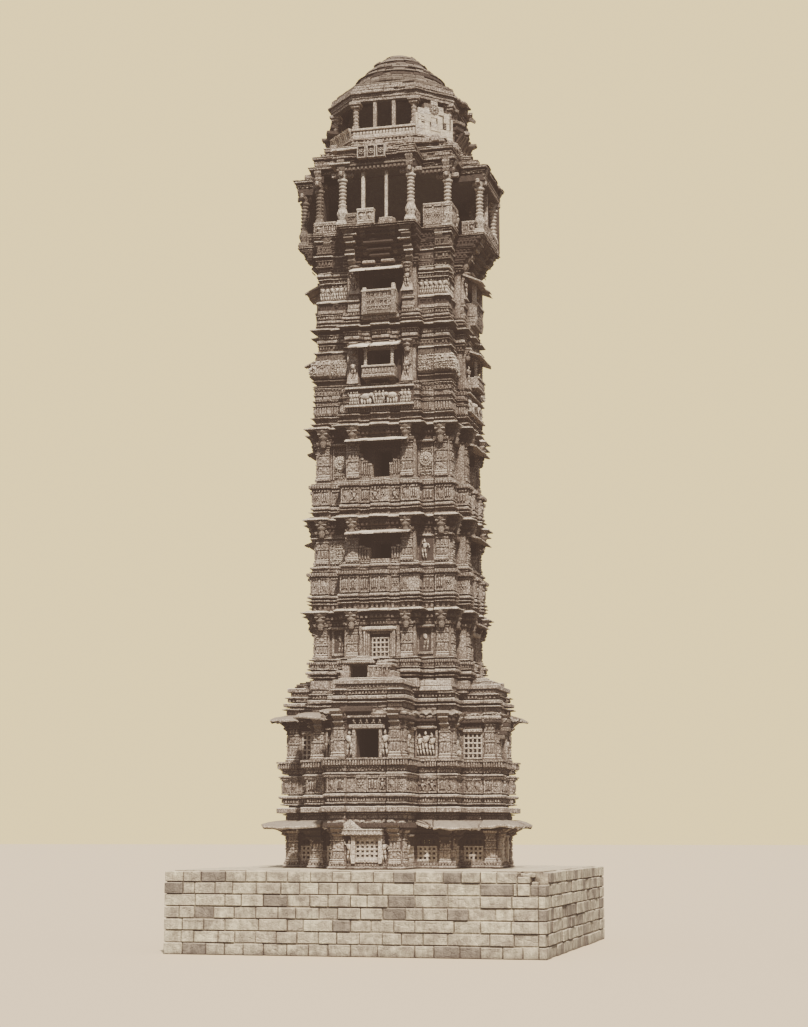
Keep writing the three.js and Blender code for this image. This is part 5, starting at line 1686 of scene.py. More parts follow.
corner_courses(corbels, 2.74, 27.56, 27.68, [(1, 0.15, DRIP)], 136)
corner_courses(corbels, 2.78, 28.2, 28.34, [(1, 0.1, DRIP)], 137)
corbels.tone = 0
for side, hand in storey_sides():
    corbels.lay((bracket(hand * 1.2, 3.05, 27.0, 28.34, 0.2, 0.82),
        bracket(hand * 0.62, 3.05, 27.45, 28.34, 0.12, 0.74),
        bracket(hand * 2.35, 2.62, 27.5, 28.36, 0.16, 0.3)), side, SHADED)
    for x, low in ((1.36, 27.86), (1.42, 27.42), (1.36, 28.14)):
        across = sorted((hand * x, hand * (x - chance.uniform(0.25, 0.6))))
        corbels.put(block(*across, 3.4, 3.2 + 0.5 * (low - 27.0), low, low + 0.06, 0.02), side, SUNLIT)
for side in range(4):
    for half, low, out in ((0.42, 27.34, 3.3), (0.52, 27.56, 3.42), (0.62, 27.8, 3.58)):
        corbels.put(slab(0, half, 3.0, out, low, low + 0.09, 0.02), side, BLACK_SHADE)
    corbels.lay([block(-0.72, -0.2, 3.0, 3.3, 27.04, 27.16, 0.03),
        block(0.06, 0.6, 3.0, 3.3, 27.06, 27.17, 0.03)], side)
build_carved("gallery_corbels", corbels, "storey_8_corbels", "dark_stone")


# Gallery floor: a projecting ledge with low carved parapets between the columns. Sandstone
# slabs on the corbels. Most of the front bay's parapet has fallen, and a stub is left.
GALLERY_REACH, GALLERY_BLOCK, GALLERY_BAY = 4.0, 2.95, 1.67
floor_low, parapet_top = levels("storey_8_floor")
LEDGE_TOP = 28.51
BLOCK_PARAPET_TOP = 29.5
gallery_floor = Stones()
gallery_plan = plan_of([gallery_half(GALLERY_BLOCK, GALLERY_BAY, GALLERY_REACH - 0.05)] * 4)
coursework(gallery_floor, gallery_plan, floor_low, LEDGE_TOP, paved_over,
    [(0.07, -0.05, DRIP), (0.08, 0.0, DRIP)], 141)
chance = random.Random(143)


def parapet(x0, x1, face, high, turn):
    """A length of parapet: a moulded foot, carved panels between uprights, and a top rail."""
    shapes = [block(x0, x1, face - 0.2, face - 0.02, LEDGE_TOP - 0.02, high - 0.08, 0.015),
        block(x0 - 0.01, x1 + 0.01, face - 0.22, face + 0.03, high - 0.09, high, 0.02),
        block(x0 - 0.01, x1 + 0.01, face - 0.2, face + 0.01, LEDGE_TOP - 0.01, LEDGE_TOP + 0.09, 0.02)]
    count = max(1, round((x1 - x0) / 0.34))
    wide = (x1 - x0) / count
    for k in range(count):
        shapes += carved_panel(x0 + (k + 0.5) * wide, wide, face - 0.02, LEDGE_TOP + 0.09, high - 0.09,
            chance)
    gallery_floor.lay(shapes, turn)


for side in range(4):
    face = GALLERY_REACH - 0.06
    # The left side's parapets are painted with shade; on the front, the stub is painted with shade and the
    # rest sunlit
    gallery_floor.tone = SHADED if side == 3 else 0
    if side == 0:
        gallery_floor.tone = SHADED
        parapet(-1.2, -0.8, face, 28.98, side)
        gallery_floor.tone = SUNLIT
        parapet(-0.77, -0.07, face, 29.14, side)
        gallery_floor.tone = 0
    else:
        parapet(-1.18, 1.18, face, parapet_top, side)
    raised = BLOCK_PARAPET_TOP if side == 0 else parapet_top
    parapet(1.72, GALLERY_BLOCK - 0.06, GALLERY_BLOCK - 0.06, raised, side)
    parapet(0.06 - GALLERY_BLOCK, -1.72, GALLERY_BLOCK - 0.06, BLOCK_PARAPET_TOP if side == 1
        else parapet_top, side)
    for x, turn in ((-3.3, side + 1), (3.3, side - 1)):
        parapet(x - 0.26, x + 0.26, GALLERY_BAY - 0.06, parapet_top, turn)
RETURN_MIDDLE = (GALLERY_REACH + GALLERY_BLOCK) / 2
# Behind each side screen stands a slab painted black as shade, and the screens are painted with shade
for middle, half, out, turn in ((RETURN_MIDDLE, 0.52, GALLERY_BAY - 0.22, 2),
        (-RETURN_MIDDLE, 0.52, GALLERY_BAY - 0.22, 2), (0, 1.2, GALLERY_REACH - 0.3, 3),
        (-2.3, 0.52, GALLERY_BLOCK - 0.28, 2), (2.3, 0.52, GALLERY_BLOCK - 0.28, 3),
        (2.3, 0.52, GALLERY_BLOCK - 0.28, 1)):
    gallery_floor.put(block(middle - half, middle + half, out - 0.08, out, LEDGE_TOP, 30.76), turn, BLACK_SHADE)
    gallery_floor.lay(bar_lattice(middle - half + 0.02, middle + half - 0.02, out + 0.02, LEDGE_TOP + 0.1,
        30.7, round(12 * half), 13, 0.035), turn, SHADED)
build_carved("gallery_floor_and_parapets", gallery_floor, "storey_8_floor")


# Gallery columns: turned in rings above a carved vase, each from one block of sandstone, with
# bracket capitals under the beams. Plain thin posts were put in later to help the front beam.
BEAM_LOW, BEAM_TOP = 30.74, 31.03


def gallery_column(x, out):
    """A ringed column on a vase, with a square foot and four capital brackets."""
    low = LEDGE_TOP
    shapes = [slab(x, 0.22, out - 0.22, out + 0.22, low, low + 0.13, 0.02),
        slab(x, 0.19, out - 0.19, out + 0.19, low + 0.12, low + 0.22, 0.03)]
    vase = [(0.14, low + 0.2), (0.16, low + 0.26), (0.2, low + 0.4), (0.205, low + 0.54),
        (0.185, low + 0.66), (0.14, low + 0.78), (0.17, low + 0.82), (0.17, low + 0.88), (0.12, low + 0.92)]
    z = low + 0.94
    while z < 30.24:
        vase += [(0.105, z), (0.15, z + 0.035), (0.155, z + 0.09), (0.105, z + 0.12)]
        z += 0.155
    vase += [(0.12, 30.3), (0.2, 30.4), (0.205, 30.46), (0.13, 30.5), (0.13, 30.54), (0.22, 30.66),
        (0.22, BEAM_LOW)]
    shapes.append(turned_post(x, out, vase, 14))
    for k in range(8):
        a = math.pi * (k + 0.5) / 4
        shapes.append(ball(x + 0.175 * math.cos(a), out + 0.175 * math.sin(a), low + 0.5, 0.06, 0.06, 0.12,
            6, 4))
    return shapes


for side in range(4):
    chance = random.Random(150 + side)
    columns = Stones()
    spots = ((GALLERY_BAY - 0.25, GALLERY_REACH - 0.25), (0.25 - GALLERY_BAY, GALLERY_REACH - 0.25),
        (GALLERY_BLOCK - 0.25, GALLERY_BLOCK - 0.25))
    for x, out in spots:
        # Columns on the left side, and the front's left corner column, are painted with shade, the rest
        # sunlit
        columns.lay(gallery_column(x, out), side, SHADED if side == 3 or side == 0 and out < 3 and x < 0
            else SUNLIT)
        for dx, dy in ((1, 0), (-1, 0), (0, 1), (0, -1)):
            columns.put(block(x + min(0, dx * 0.46) - 0.07 * abs(dy), x + max(0, dx * 0.46)
                + 0.07 * abs(dy), out + min(0, dy * 0.3) - 0.07 * abs(dx), out + max(0, dy * 0.3)
                + 0.07 * abs(dx), 30.58, BEAM_LOW + 0.02, 0.04), side)
            columns.put(ball(x + dx * 0.4, out + dy * 0.26, 30.61, 0.06, 0.06, 0.07, 6, 4), side)
    beams = [(-GALLERY_BAY + 0.02, GALLERY_BAY - 0.02, GALLERY_REACH - 0.48, GALLERY_REACH - 0.04),
        (GALLERY_BAY - 0.02, GALLERY_BLOCK - 0.02, GALLERY_BLOCK - 0.48, GALLERY_BLOCK - 0.04)]
    for x0, x1, out0, out1 in beams:
        # The beams are painted black as shade, their dentils and rail with shade
        columns.put(block(x0, x1, out0, out1, BEAM_LOW, BEAM_TOP, 0.02), side, BLACK_SHADE)
        columns.tone = SHADED
        for k in range(int((x1 - x0) / 0.17)):
            columns.put(stud(x0 + 0.085 + 0.17 * k, out1, BEAM_LOW + 0.03, BEAM_LOW + 0.16, 0.06, 0.06),
                side)
        columns.put(block(x0, x1, out1 - 0.05, out1 + 0.06, BEAM_TOP - 0.09, BEAM_TOP, 0.015), side)
    # The side beams are painted black as shade
    columns.tone = BLACK_SHADE
    for turn, x in ((side + 1, 0.2 - (GALLERY_REACH + GALLERY_BLOCK) / 2),
            (side - 1, (GALLERY_REACH + GALLERY_BLOCK) / 2 - 0.2)):
        columns.put(slab(x, 0.46, GALLERY_BAY - 0.46, GALLERY_BAY - 0.05, BEAM_LOW, BEAM_TOP, 0.02), turn)
    columns.put(block(GALLERY_BLOCK - 0.48, GALLERY_BLOCK - 0.04, GALLERY_BAY, GALLERY_BLOCK - 0.02,
        BEAM_LOW, BEAM_TOP, 0.02), side)
    columns.put(block(-GALLERY_BLOCK + 0.04, -GALLERY_BAY + 0.02, GALLERY_BLOCK - 0.48,
        GALLERY_BLOCK - 0.04, BEAM_LOW, BEAM_TOP, 0.02), side)
    columns.tone = 0
    if side == 0:
        for x, half in ((-0.56, 0.07), (0.4, 0.055)):
            # The later thin posts are painted sunlit
            columns.put(slab(x, half, 3.66, 3.8, LEDGE_TOP - 0.01, BEAM_LOW + 0.02, 0.02), 0, SUNLIT)
        columns.put(rough_slab(0.12, 0.75, 3.55, 3.9, LEDGE_TOP, LEDGE_TOP + 0.22, 0.1, 5), 0)
        columns.put(block(-0.75, -0.6, 3.62, 3.84, LEDGE_TOP, LEDGE_TOP + 0.3, 0.04), 0)
    if side == 1:
        columns.put(slab(0, 0.07, 3.66, 3.8, LEDGE_TOP - 0.01, BEAM_LOW + 0.02, 0.02), 1)
    build_carved(ARM_NAMES[side] + "_gallery_colonnade", columns, ARM_NAMES[side] + "_gallery_columns")


# Gallery roof: slabs laid in steps over the beams, drawing in to the top storey. A cornice of
# small panels runs over the front bay, and much of its rim has broken away.
gallery_roof = Stones()
chance = random.Random(161)
ROOF_STEPS = ((31.03, 31.2, 2.98, 1.7, 4.02), (31.2, 31.42, 3.1, 1.78, 4.16),
    (31.42, 31.7, 2.9, 1.62, 3.72), (31.7, 31.9, 2.98, 1.5, 3.46), (31.9, 32.1, 2.7, 1.4, 3.16),
    (32.1, 32.4, 2.58, 1.35, 2.92))
# Tones of the step rims: painted shade on the lowest, painted sunlit on the fourth and the top
ROOF_SHADED_AND_SUNLIT = (SHADED, 0, 0, SUNLIT, 0, SUNLIT)
ROOF_MOTIFS = ((petal, 0.2), (slab_joint, 0.9), (carved_panel, 0.34), (slab_joint, 1.1), (dentil, 0.2),
    (slab_joint, 1.0))
for k, (low, high, corner, bay, reach) in enumerate(ROOF_STEPS):
    plan = plan_of([gallery_half(corner, bay, reach - 0.05)] * 4)
    hollow = square_hollow(2.2 if k < 3 else 1.5)
    gap, rim = low + 0.3 * (high - low), low + 0.7 * (high - low)
    # The sunk course at the foot of each step is painted black as shade
    gallery_roof.tone = BLACK_SHADE
    coursework(gallery_roof, plan, low, gap, hollow, [(1, -0.16, FLAT)], 162 + k)
    gallery_roof.tone = 0
    coursework(gallery_roof, plan, gap, rim, hollow, [(1, -0.04, FLAT, *ROOF_MOTIFS[k])], 167 + k)
    gallery_roof.tone = ROOF_SHADED_AND_SUNLIT[k]
    coursework(gallery_roof, plan, rim, high, hollow, [(1, 0.02, DRIP)], 172 + k)
gallery_roof.tone = 0
# A ceiling slab and the backs of the front panels are painted black as shade; the panels' frames and
# flowers and two broken slabs on the front are painted sunlit
gallery_roof.put(slab(0, 2.3, -2.3, 2.3, 31.0, 31.08), 0, BLACK_SHADE)
for x in (-0.52, -0.12, 0.28):
    gallery_roof.put(slab(x, 0.165, 3.5, 4.18, 31.19, 31.66, 0.02), 0, BLACK_SHADE)
    gallery_roof.lay([slab(x + a * 0.155, 0.02, 3.5, 4.24, 31.17, 31.68) for a in (-1, 1)]
        + rosette(x, 4.2, 31.43, 0.13, 8, 0.06), 0, SUNLIT)
    gallery_roof.lay([slab(x, 0.165, 3.5, 4.24, z, z + 0.035) for z in (31.17, 31.65)], 0, SUNLIT)
gallery_roof.put(rough_slab(-1.9, -1.0, 3.3, 4.12, 31.03, 31.1, 0.06, 8), 0, SUNLIT)
gallery_roof.put(rough_slab(-1.9, 0.3, 3.3, 3.9, 31.7, 31.79, 0.08, 9), 0, SUNLIT)
gallery_roof.put(rough_slab(-1.6, -0.9, 3.6, 4.5, 30.86, 30.95, 0.06, 10), 3)
for side in range(4):
    for k in range(14):
        x, out = chance.uniform(-2.3, 2.3), chance.uniform(2.75, 3.05)
        gallery_roof.put(rough_slab(x - 0.16, x + 0.16, out - 0.2, out, 32.1,
            32.1 + chance.uniform(0.1, 0.3), 0.06, k), side)
    for hand in (-1, 1):
        for x, out in ((hand * 1.42, 3.98), (hand * 2.7, 2.95)):
            gallery_roof.put(bracket(x, out - 0.06, 30.6, 31.34, 0.16, 0.22), side)
build_carved("gallery_roof_slabs", gallery_roof, "storey_8_roof")


# Pavilion floor: the eight-sided floor of the top storey, two thin courses of sandstone slabs
# with dentils under their rim, laid dry on the gallery's roof.
TOP_REACH, TOP_FACE, TOP_DIAGONAL = 2.67, 1.35, 2.843
TOP_WALL = 0.3
eight_sided = plan_of([[(TOP_FACE, TOP_REACH, 0.4142, 1, "")]] * 4)


def swung(shape, degrees):
    """A shape made for the front, swung round the tower's axis."""
    points, *rest = shape
    points = np.array(points, float)
    a = math.radians(degrees)
    x = points[:, 0] * math.cos(a) - points[:, 1] * math.sin(a)
    y = points[:, 0] * math.sin(a) + points[:, 1] * math.cos(a)
    return (np.column_stack([x, y, points[:, 2]]), *rest)


top_floor_low, top_floor_high = levels("storey_9_floor")
top_floor = Stones()
coursework(top_floor, eight_sided, top_floor_low, top_floor_high, paved_over,
    [(0.1, 0.02, FLAT, dentil, 0.16), (0.12, 0.1, DRIP)], 181)
build("pavilion_floor_slabs", top_floor, CARVED_STONE, "carved_stone", "storey_9_floor")


# Pavilion parapet: a low wall with upright ribs under a coping, on seven of the eight sides.
# On the sides behind, leaning seat-back ribs of sandstone still stand on it.
seat_foot, seat_top = levels("storey_9_parapet")
top_parapet = Stones()
chance = random.Random(183)
for turn in range(8):
    if turn == 1:
        continue
    # The front side is painted sunlit
    top_parapet.tone = SUNLIT if turn == 0 else 0
    out, half = (TOP_REACH, 1.33) if turn % 2 == 0 else (TOP_DIAGONAL, 0.92)
    shapes = [slab(0, half, out - TOP_WALL, out - 0.04, seat_foot, seat_foot + 0.16, 0.02),
        slab(0, half, out - 0.24, out - 0.1, seat_foot + 0.15, seat_top - 0.08, 0.02),
        block(-half - 0.02, half + 0.02, out - 0.28, out + 0.0, seat_top - 0.09, seat_top, 0.025)]
    for k in range(int(2 * half / 0.14)):
        x = -half + 0.07 + 0.14 * k
        shapes.append(pile(x, out - 0.1, [(seat_foot + 0.15, 0.045, 0.05), (seat_foot + 0.24, 0.05, 0.07),
            (seat_top - 0.09, 0.04, 0.02)]))
    for shape in shapes:
        top_parapet.put(swung(shape, 45 * turn))
for k in range(11):
    x = -0.75 + 0.15 * k
    # Most of the seat-back ribs here are painted sunlit
    top_parapet.tone = SUNLIT if k % 3 else 0
    top_parapet.put(swung(pile(x, TOP_DIAGONAL - 0.1,
        [(seat_foot + 0.1, 0.05, 0.06), (seat_top - 0.1, 0.055, 0.12), (seat_top + 0.06, 0.055, 0.22)],
        0.12), -45))
for turn in (2, 3, 5, 6):
    half, out = (1.05, 2.62) if turn % 2 == 0 else (0.78, 2.8)
    count = round(2 * half / 0.15)
    for k in range(count):
        x, wide = -half + (k + 0.5) * 2 * half / count, half / count
        high = seat_top + chance.uniform(0.02, 0.16)
        rib = [(x - wide, -out, seat_foot + 0.06), (x + wide, -out, seat_foot + 0.06),
            (x + wide, -out - 0.1, seat_foot + 0.06), (x - wide, -out - 0.1, seat_foot + 0.06)]
        rib += [(a, b - 0.3, high) for a, b, c in rib]
        # The ribs behind are painted with shade, one in three black as shade
        top_parapet.tone = SHADED if k % 3 else BLACK_SHADE
        top_parapet.put(swung((rib, [(0, 1, 2, 3), (7, 6, 5, 4), (1, 0, 4, 5), (2, 1, 5, 6), (3, 2, 6, 7),
            (0, 3, 7, 4)]), 45 * turn))
build_carved("pavilion_parapet", top_parapet, "storey_9_parapet")


# Walled-up face: squared pale stones in courses between the posts, with a flower low in its
# middle, gaps between some stones, and slips painted black as shade where mortar is missing.
# A backing painted black as shade stands behind the thin skin.
infill = Stones()
INFILL_IN, INFILL_OUT = 2.55, 2.83
INFILL_COURSES = 3
INFILL_TURN = 45
for k in range(INFILL_COURSES):
    z = seat_foot + (seat_top - seat_foot) * k / INFILL_COURSES
    x = -0.9
    while x < 0.88:
        wide = min(chance.uniform(0.3, 0.6), 0.9 - x)
        infill.tone = chance.choice((0, 0, SUNLIT))
        infill.put(swung(block(x, x + wide - 0.004, INFILL_IN, INFILL_OUT - chance.uniform(0, 0.02), z,
            z + 0.15, 0.008), INFILL_TURN))
        x += wide
for x0, x1, top in ((-0.78, -0.48, 33.84), (-0.48, -0.16, 34.06), (-0.16, 0.16, 34.23), (0.16, 0.46, 34.02),
        (0.46, 0.74, 33.8)):
    z = seat_top
    while z < top - 0.04:
        tall = min(chance.uniform(0.18, 0.34), top - z)
        infill.tone = chance.choice((0, 0, 0, 0, SUNLIT, SUNLIT, SHADED))
        gap = 0.06 if chance.random() < 0.12 else 0.003
        infill.put(swung(block(x0, x1 - gap, INFILL_IN, INFILL_OUT - chance.uniform(0, 0.025), z,
            z + tall - 0.004, 0.01), INFILL_TURN))
        z += tall
infill.tone = 0
for x in (-0.9, 0.8):
    infill.put(swung(block(x, x + 0.1, INFILL_IN, INFILL_OUT, seat_top - 0.02, seat_top + 0.5, 0.02),
        INFILL_TURN))
# The flower's outer ring and boss are painted with shade, its middle ring sunlit
for tone, radius, petals, proud in ((SHADED, 0.27, 12, 0.06), (SUNLIT, 0.17, 8, 0.09), (SHADED, 0.08, 5, 0.12)):
    infill.tone = tone
    for shape in rosette(-0.02, INFILL_OUT - 0.01, 33.83, radius, petals, proud):
        infill.put(swung(shape, INFILL_TURN))
infill.tone = BLACK_SHADE
infill.put(swung(block(-0.76, 0.72, INFILL_IN + 0.03, INFILL_IN + 0.12, seat_top - 0.02, 33.79, 0.003),
    INFILL_TURN))
for x, z in ((0.5, 33.08), (0.5, 33.15), (0.5, 33.22), (0.5, 33.29), (-0.58, 33.42), (-0.56, 33.2),
        (0.3, 33.62)):
    infill.put(swung(slab(x, 0.075, INFILL_OUT - 0.03, INFILL_OUT + 0.004, z, z + 0.04, 0.003),
        INFILL_TURN))
WHITE_STONE = stone("fresh_sandstone", (0.7, 0.61, 0.46), (0.56, 0.48, 0.355), (0.27, 0.21, 0.15), 1.6, 0.8,
    hollow_shade=0.6)
build("walled_up_face", infill, WHITE_STONE, "pale_stone", "infill_wall", others=SHADED_AND_SUNLIT_COPIES)


# Pavilion posts: ringed stone posts in pairs beside each corner, with plain square ones between,
# carrying an eight-sided lintel of sandstone beams and a ceiling slab painted black as shade.
posts = Stones()
post_low, post_high = levels("storey_9_posts")
LINTEL_LOW = 34.23
for sx, sy in itertools.product((-1, 1), repeat=2):
    for a, b in ((TOP_REACH - 0.22, TOP_FACE - 0.11), (TOP_FACE - 0.11, TOP_REACH - 0.22)):
        x, out = sx * a, sy * b
        posts.put(slab(x, 0.14, out - 0.14, out + 0.14, post_low, post_low + 0.14, 0.02))
        posts.put(turned_post(x, out, ringed(post_low + 0.12, LINTEL_LOW - 0.2, 0.11, 0.16), 10))
        posts.put(slab(x, 0.18, out - 0.18, out + 0.18, LINTEL_LOW - 0.22, LINTEL_LOW - 0.1, 0.04))
        posts.put(slab(x, 0.24, out - 0.24, out + 0.24, LINTEL_LOW - 0.11, LINTEL_LOW + 0.02, 0.04))
    for a, b in ((2.53, 0.4), (0.4, 2.53)):
        x, out = sx * a, sy * b
        posts.put(slab(x, 0.07, out - 0.07, out + 0.07, post_low, LINTEL_LOW + 0.02, 0.015))
coursework(posts, eight_sided, LINTEL_LOW, post_high, set_in(TOP_WALL),
    [(0.1, -0.02, FLAT), (0.12, 0.02, ROLL)], 191)
posts.tone = BLACK_SHADE
posts.put(turned_post(0, 0, [(2.3, LINTEL_LOW + 0.04), (2.3, LINTEL_LOW + 0.1)], 8))
build_carved("pavilion_posts_and_lintel", posts, "storey_9_posts")


# Top cornice and eave: plain courses stepping in to the dome's foot. The sloping eave round
# them has broken away in front, and ragged slabs of it hang at the sides and back.

def top_loss(x, y):
    """How much of the top eave is left: none in front, a stub at the sides, most of it behind."""
    turn = math.degrees(math.atan2(x, -y))
    left = 0.5 + 0.5 * (int(turn + 180) // 13 * 7 % 10) / 9
    return 0.05 if -45 < turn < 62 else 0.35 * left if abs(turn) < 118 else left


top_eave = Stones()
coursework(top_eave, eight_sided, post_high, 34.82, set_in(0.4),
    [(0.06, 0.0, FLAT), (0.13, 0.1, DRIP, slab_joint, 0.5), (0.05, -0.02, SLOT),
    (0.12, -0.04, FLAT, slab_joint, 0.6)], 193)
coursework(top_eave, eight_sided, 34.82, 34.96, set_in(0.65), [(0.13, -0.1, DRIP, slab_joint, 0.5)], 195)
# The upper courses, the eave's rim and the broken slabs are painted with shade, some slabs black as shade
top_eave.tone = SHADED
coursework(top_eave, eight_sided, 34.96, 35.1, set_in(0.65),
    [(0.04, -0.36, SLOT), (0.13, -0.24, FLAT, slab_joint, 0.6)], 196)
drooping_eave(top_eave, eight_sided, -0.38, 0.66, 35.08, 34.42, 0.06, set_in(0.65), 0.5, 197, top_loss,
    SHADED)
chance = random.Random(199)
for k in range(120):
    top_eave.tone = chance.choice((SHADED, SHADED, BLACK_SHADE, 0))
    swing, drop = chance.choice((chance.uniform(-175, -62), chance.uniform(72, 180))), chance.uniform(0, 1)
    out, z = 2.42 + 0.72 * drop, 35.02 - 0.5 * drop
    if abs(swing) > 112:
        z = 35.06 - 0.6 * ((out - 2.29) / 1.04) ** 2
    half = chance.uniform(0.12, 0.3)
    top_eave.put(swung(rough_slab(-half, half, out - 0.35, out, z - 0.05, z + 0.06, 0.1, k), swing))
BROKEN_EDGE = ((34.98, 2.35), (34.84, 2.5), (34.7, 2.58), (34.54, 2.64), (34.38, 2.7), (34.22, 2.74),
    (34.06, 2.78), (33.9, 2.8), (33.74, 2.86), (33.58, 2.94), (33.44, 3.08), (33.3, 3.04), (33.16, 3.02),
    (33.02, 2.98), (32.88, 2.92), (32.74, 2.84))
for degrees in (-157.5, -112.5, -67.5, 67.5, 112.5, 157.5):
    for z, out in BROKEN_EDGE:
        top_eave.tone = chance.choice((SHADED, BLACK_SHADE, BLACK_SHADE, SHADED, 0))
        half, reach = chance.uniform(0.16, 0.36), out + chance.uniform(-0.1, 0.14)
        swing = degrees + chance.uniform(-2.5, 2.5)
        top_eave.put(swung(rough_slab(-half, half, 2.5 if z < 34.4 else 2.1, reach, z - 0.02, z + 0.13,
            0.12, z), swing))
for degrees, z, out in ((-80, 33.46, 3.32), (-84, 33.36, 3.2), (100, 33.04, 3.3), (96, 32.92, 3.2),
        (88, 34.3, 2.95)):
    top_eave.tone = SHADED
    top_eave.put(swung(rough_slab(-0.2, 0.2, 2.4, out, z, z + 0.1, 0.1, z), degrees))
build_carved("top_eave_slabs", top_eave, "storey_9_eave")


# Dome: rough stones laid in rings, each ring stepping in over the last, with a plain inner
# shell. Its crown has fallen and only a stub stands. Sandstone in thick lime joints.
dome_high = levels("dome")[1]
dome = Stones()
# The dome's stone is made darker than the walls'
DOME_STONE = stone("darkened_dome_sandstone", (0.24, 0.193, 0.15), (0.13, 0.104, 0.081), (0.05, 0.038, 0.03),
    1.2, dust_and_top_light=(0.27, 0.22, 0.17), chisel=0.6)
chance = random.Random(201)


def ring_stone(radius0, radius1, start, end, low, high, chip):
    """One curved stone of a ring, between two angles."""
    angles = np.linspace(start + 0.006, end - 0.006, 4)
    loops = []
    for z, inset in ((low, 0.02), (low + 0.02, 0.0), (high - 0.03, chip), (high, chip + 0.03)):
        outer = [((radius1 - inset) * math.cos(a), (radius1 - inset) * math.sin(a), z) for a in angles]
        inner = [(radius0 * math.cos(a), radius0 * math.sin(a), z) for a in reversed(angles)]
        loops.append(np.array(outer + inner))
    return stacked(loops)


DOME_RINGS = ((35.1, 35.27, 2.21, 0.55), (35.27, 35.45, 2.1, 0.45), (35.45, 35.62, 2.08, 0.5),
    (35.62, 35.8, 2.00, 0.4), (35.8, 35.9, 1.9, 0.7), (35.9, 36.03, 1.78, 0.4), (36.03, 36.13, 1.68, 0.6),
    (36.13, 36.27, 1.52, 0.4), (36.27, 36.4, 1.42, 0.45), (36.4, 36.54, 1.3, 0.5),
    (36.54, 36.67, 1.16, 0.4), (36.67, 36.8, 1.04, 0.4), (36.8, 36.92, 0.92, 0.4),
    (36.92, 37.02, 0.72, 0.4))
for ring, (low, high, radius, length) in enumerate(DOME_RINGS):
    radius += 0.05 if ring % 3 == 1 else -0.05
    # Every third of the lower rings is painted black as the shade of the ring above
    dome.tone = BLACK_SHADE if ring % 3 == 0 and ring < 10 else 0
    a = chance.uniform(0, 1)
    end = a + 2 * math.pi
    while a < end - 0.02:
        wide = min(chance.uniform(0.7, 1.3) * length / radius, end - a)
        out = min(2.22, radius + chance.uniform(-0.05, 0.03))
        dome.put(ring_stone(max(radius - 0.5, 0.02), out, a, a + wide, low, high - chance.uniform(0, 0.03),
            chance.uniform(0.0, 0.1)))
        a += wide
dome.tone = 0
dome.put(turned_post(0, 0, [(2.24, 35.05), (2.24, 35.11)], 32))
dome.put(turned_post(0, 0, [(1.95, 35.12), (1.9, 35.7), (1.45, 36.1), (1.0, 36.5), (0.5, 36.8),
    (0.1, 36.95)], 24))
for x, out, low, high, half in ((0, 0, 36.98, 37.08, 0.24), (0.05, 0.02, 37.06, 37.15, 0.14),
        (0.02, 0, 37.13, dome_high, 0.07)):
    dome.put(rough_slab(x - half, x + half, out - half, out + half, low, high, 0.05, low))
dome.put(rough_slab(-2.2, -1.6, -0.5, -0.2, 35.82, 35.93, 0.03, 7))
dome.put(rough_slab(-2.34, -1.9, -0.9, -0.6, 35.46, 35.55, 0.03, 8))
for k in range(12):
    a, radius = chance.uniform(0, 2 * math.pi), chance.uniform(0.4, 1.5)
    z = np.interp(radius, (0.4, 0.9, 1.4, 1.8), (36.9, 36.62, 36.2, 35.8))
    x, out = radius * math.cos(a), radius * math.sin(a)
    dome.put(rough_slab(x - 0.13, x + 0.13, out - 0.13, out + 0.13, z, z + chance.uniform(0.05, 0.1), 0.06,
        k))
build("dome_stones", dome, DOME_STONE, "carved_stone", "dome",
    others=(DOME_STONE, BLACK_SHADE_STONE, SHADED_STONE))


# Floors of the upper storeys: plain slabs of sandstone, seen only through the openings. Each
# lies in a rebate in the walls below it.
# Their stone is kept dark as painted shade, since they lie inside
FLOOR_STONE = stone("shaded_floor_sandstone", (0.22, 0.175, 0.135), (0.15, 0.115, 0.088),
    (0.07, 0.052, 0.041), 0.6, 1.2, dust_and_top_light=(0.2, 0.16, 0.125))
for node in ("storey_2_floor", *(f"storey_{n}_floor" for n in range(3, 8))):
    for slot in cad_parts[node].material_slots:
        slot.material = FLOOR_STONE


# Stage: a plain pale floor and a soft studio light that comes from high on the right
FLOOR_HALF = 900
floor_mesh = bpy.data.meshes.new("floor")
floor_mesh.from_pydata([(x * FLOOR_HALF, y * FLOOR_HALF, -0.002) for x,
    y in ((-1, -1), (1, -1), (1, 1), (-1, 1))], [], [(0, 1, 2, 3)])
floor = bpy.data.objects.new("floor", floor_mesh)
bpy.context.scene.collection.objects.link(floor)
PAPER = (0.62, 0.5, 0.33)
floor_paint = bpy.data.materials.new("pale_floor")
floor_paint.use_nodes = True
floor_paint.node_tree.nodes["Principled BSDF"].inputs["Base Color"].default_value = (*PAPER, 1)
floor_paint.node_tree.nodes["Principled BSDF"].inputs["Roughness"].default_value = 0.9
floor_mesh.materials.append(floor_paint)
floor.visible_diffuse = False

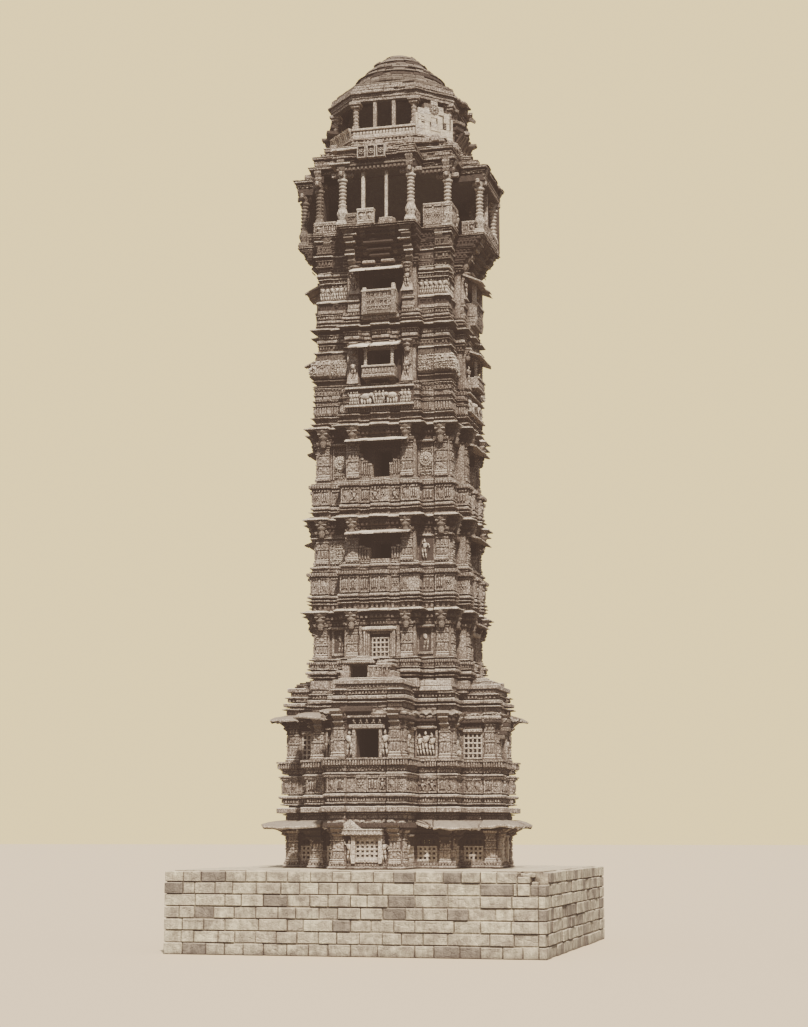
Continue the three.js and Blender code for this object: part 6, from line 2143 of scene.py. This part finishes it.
key_lamp = bpy.data.lights.new("key", "SUN")
key_lamp.energy = 8.6
key_lamp.angle = math.radians(3)
key_lamp.color = (1.0, 0.93, 0.82)
key = bpy.data.objects.new("key", key_lamp)
SUN_RIGHT, SUN_HIGH = math.radians(24), math.radians(50)
key.rotation_euler = (math.radians(90) - SUN_HIGH, 0, SUN_RIGHT)
bpy.context.scene.collection.objects.link(key)

BACKDROP = (1.72, 1.33, 0.56)
FILL_HIGH, FILL_LOW = (0.62, 0.61, 0.6), (0.07, 0.055, 0.045)
sky = bpy.data.worlds.new("backdrop")
sky.use_nodes = True
sky_nodes, sky_links = sky.node_tree.nodes, sky.node_tree.links
direction = sky_nodes.new("ShaderNodeSeparateXYZ")
sky_links.new(sky_nodes.new("ShaderNodeTexCoord").outputs["Generated"], direction.inputs[0])
height = sky_nodes.new("ShaderNodeMapRange")
height.inputs["From Min"].default_value = -0.15
height.inputs["From Max"].default_value = 0.25
sky_links.new(direction.outputs["Z"], height.inputs["Value"])
fill = sky_nodes.new("ShaderNodeMix")
fill.data_type = "RGBA"
sky_links.new(height.outputs["Result"], fill.inputs[0])
fill.inputs[6].default_value = (*FILL_LOW, 1)
fill.inputs[7].default_value = (*FILL_HIGH, 1)
seen = sky_nodes.new("ShaderNodeMix")
seen.data_type = "RGBA"
sky_links.new(sky_nodes.new("ShaderNodeLightPath").outputs["Is Camera Ray"], seen.inputs[0])
sky_links.new(fill.outputs[2], seen.inputs[6])
seen.inputs[7].default_value = (*BACKDROP, 1)
sky_links.new(seen.outputs[2], sky_nodes["Background"].inputs["Color"])
bpy.context.scene.world = sky


# Camera: the photograph's own place, low on the front right, looking up
CAMERA_TURN = math.radians(14.32)
CAMERA_FAR = 75.2
CAMERA_HIGH = 4.26
CAMERA_PITCH = math.radians(9.86)
CAMERA_ASIDE = math.radians(0.142)
camera_data = bpy.data.cameras.new("camera")
camera_data.sensor_width = 36
camera_data.lens = 65.13
camera_data.clip_end = 3000
camera = bpy.data.objects.new("camera", camera_data)
camera.location = (CAMERA_FAR * math.sin(CAMERA_TURN), -CAMERA_FAR * math.cos(CAMERA_TURN), CAMERA_HIGH)
camera.rotation_euler = (math.radians(90) + CAMERA_PITCH, 0, CAMERA_TURN - CAMERA_ASIDE)
bpy.context.scene.collection.objects.link(camera)
bpy.context.scene.camera = camera
